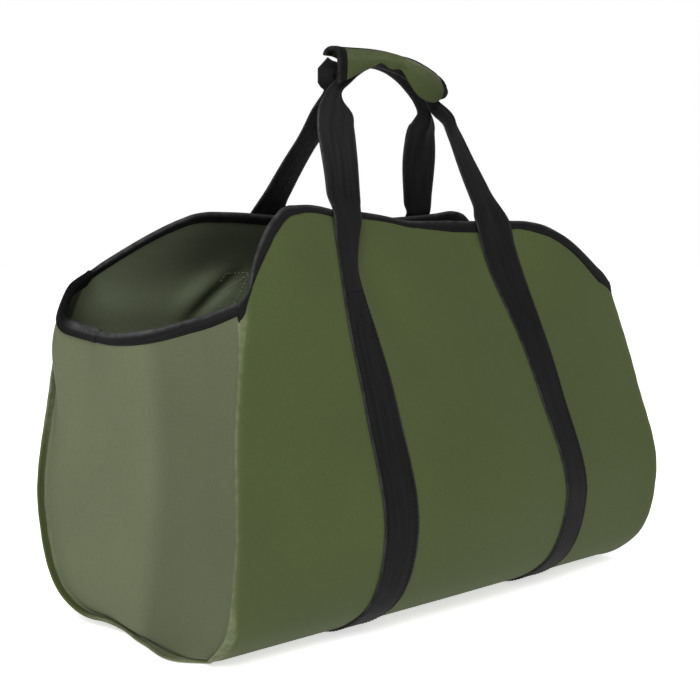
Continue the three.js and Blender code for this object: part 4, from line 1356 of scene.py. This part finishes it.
def add_surroundings(scene, strength):
    """White surroundings, which light the bag less than they are seen by the camera."""
    world = bpy.data.worlds.new("white surroundings")
    world.use_nodes = True
    nodes, link = world.node_tree.nodes, world.node_tree.links.new
    sky, seen = nodes["Background"], nodes.new("ShaderNodeBackground")
    for background, brightness in ((sky, strength), (seen, 1.0)):
        background.inputs["Color"].default_value = (1, 1, 1, 1)
        background.inputs["Strength"].default_value = brightness
    choice = nodes.new("ShaderNodeMixShader")
    link(nodes.new("ShaderNodeLightPath").outputs["Is Camera Ray"], choice.inputs[0])
    link(sky.outputs[0], choice.inputs[1])
    link(seen.outputs[0], choice.inputs[2])
    link(choice.outputs[0], nodes["World Output"].inputs["Surface"])
    scene.world = world


def add_object(scene, name, data, location, forward):
    """An object that looks along a direction."""
    thing = bpy.data.objects.new(name, data)
    thing.location = location
    thing.rotation_euler = forward.to_track_quat("-Z", "Y").to_euler()
    scene.collection.objects.link(thing)
    return thing


class CARRIER_OT_stage(bpy.types.Operator):
    """Add the floor, the lights and the camera"""

    bl_idname = "carrier.stage"
    bl_label = "Stage"

    def execute(self, context):
        scene, stage = context.scene, context.scene.carrier_stage
        add_floor(stage)
        add_surroundings(scene, stage.sky)
        scene.view_settings.view_transform = "Standard"
        for name, location, size, power in (
            ("key_light", KEY_PLACE, KEY_SIZE, stage.key_power),
            ("fill_light", FILL_PLACE, FILL_SIZE, stage.fill_power),
        ):
            light = bpy.data.lights.new(name, "AREA")
            light.size, light.energy = size, power
            add_object(scene, name, light, location, Vector(LIT_POINT) - Vector(location))
        light = bpy.data.lights.new("top_light", "SUN")
        light.energy, light.angle = stage.top_power, radians(TOP_SPREAD)
        add_object(scene, "top_light", light, TOP_PLACE, Vector((0, 0, -1)))
        camera = bpy.data.cameras.new("camera")
        camera.sensor_fit, camera.sensor_width = "HORIZONTAL", SENSOR_WIDTH
        camera.lens = stage.focal_length
        scene.camera = add_object(scene, "camera", camera, CAMERA_PLACE, Vector(CAMERA_FORWARD))
        return {"FINISHED"}


PIECES = (
    CARRIER_OT_sling,
    CARRIER_OT_ends,
    CARRIER_OT_bindings,
    CARRIER_OT_handles,
    CARRIER_OT_grip,
    CARRIER_OT_stage,
)
SETTINGS = {
    "carrier_cloth": CARRIER_PG_cloth,
    "carrier_trim": CARRIER_PG_trim,
    "carrier_stage": CARRIER_PG_stage,
}


class CARRIER_PT_panel(bpy.types.Panel):
    """Settings and pieces of the log carrier"""

    bl_idname = "CARRIER_PT_panel"
    bl_label = "Log Carrier"
    bl_space_type = "VIEW_3D"
    bl_region_type = "UI"
    bl_category = "Log Carrier"

    def draw(self, context):
        for name, group in SETTINGS.items():
            box = self.layout.box()
            for key in group.__annotations__:
                box.prop(getattr(context.scene, name), key)
        for piece in PIECES:
            self.layout.operator(piece.bl_idname)


CLASSES = (*SETTINGS.values(), *PIECES, CARRIER_PT_panel)


def register():
    for cls in CLASSES:
        bpy.utils.register_class(cls)
    for name, group in SETTINGS.items():
        setattr(bpy.types.Scene, name, bpy.props.PointerProperty(type=group))


def unregister():
    for name in SETTINGS:
        delattr(bpy.types.Scene, name)
    for cls in reversed(CLASSES):
        bpy.utils.unregister_class(cls)


def main():
    """Builds the carrier on its stage."""
    register()
    for piece in PIECES:
        area, name = piece.bl_idname.split(".")
        getattr(getattr(bpy.ops, area), name)()


if __name__ == "__main__":
    main()
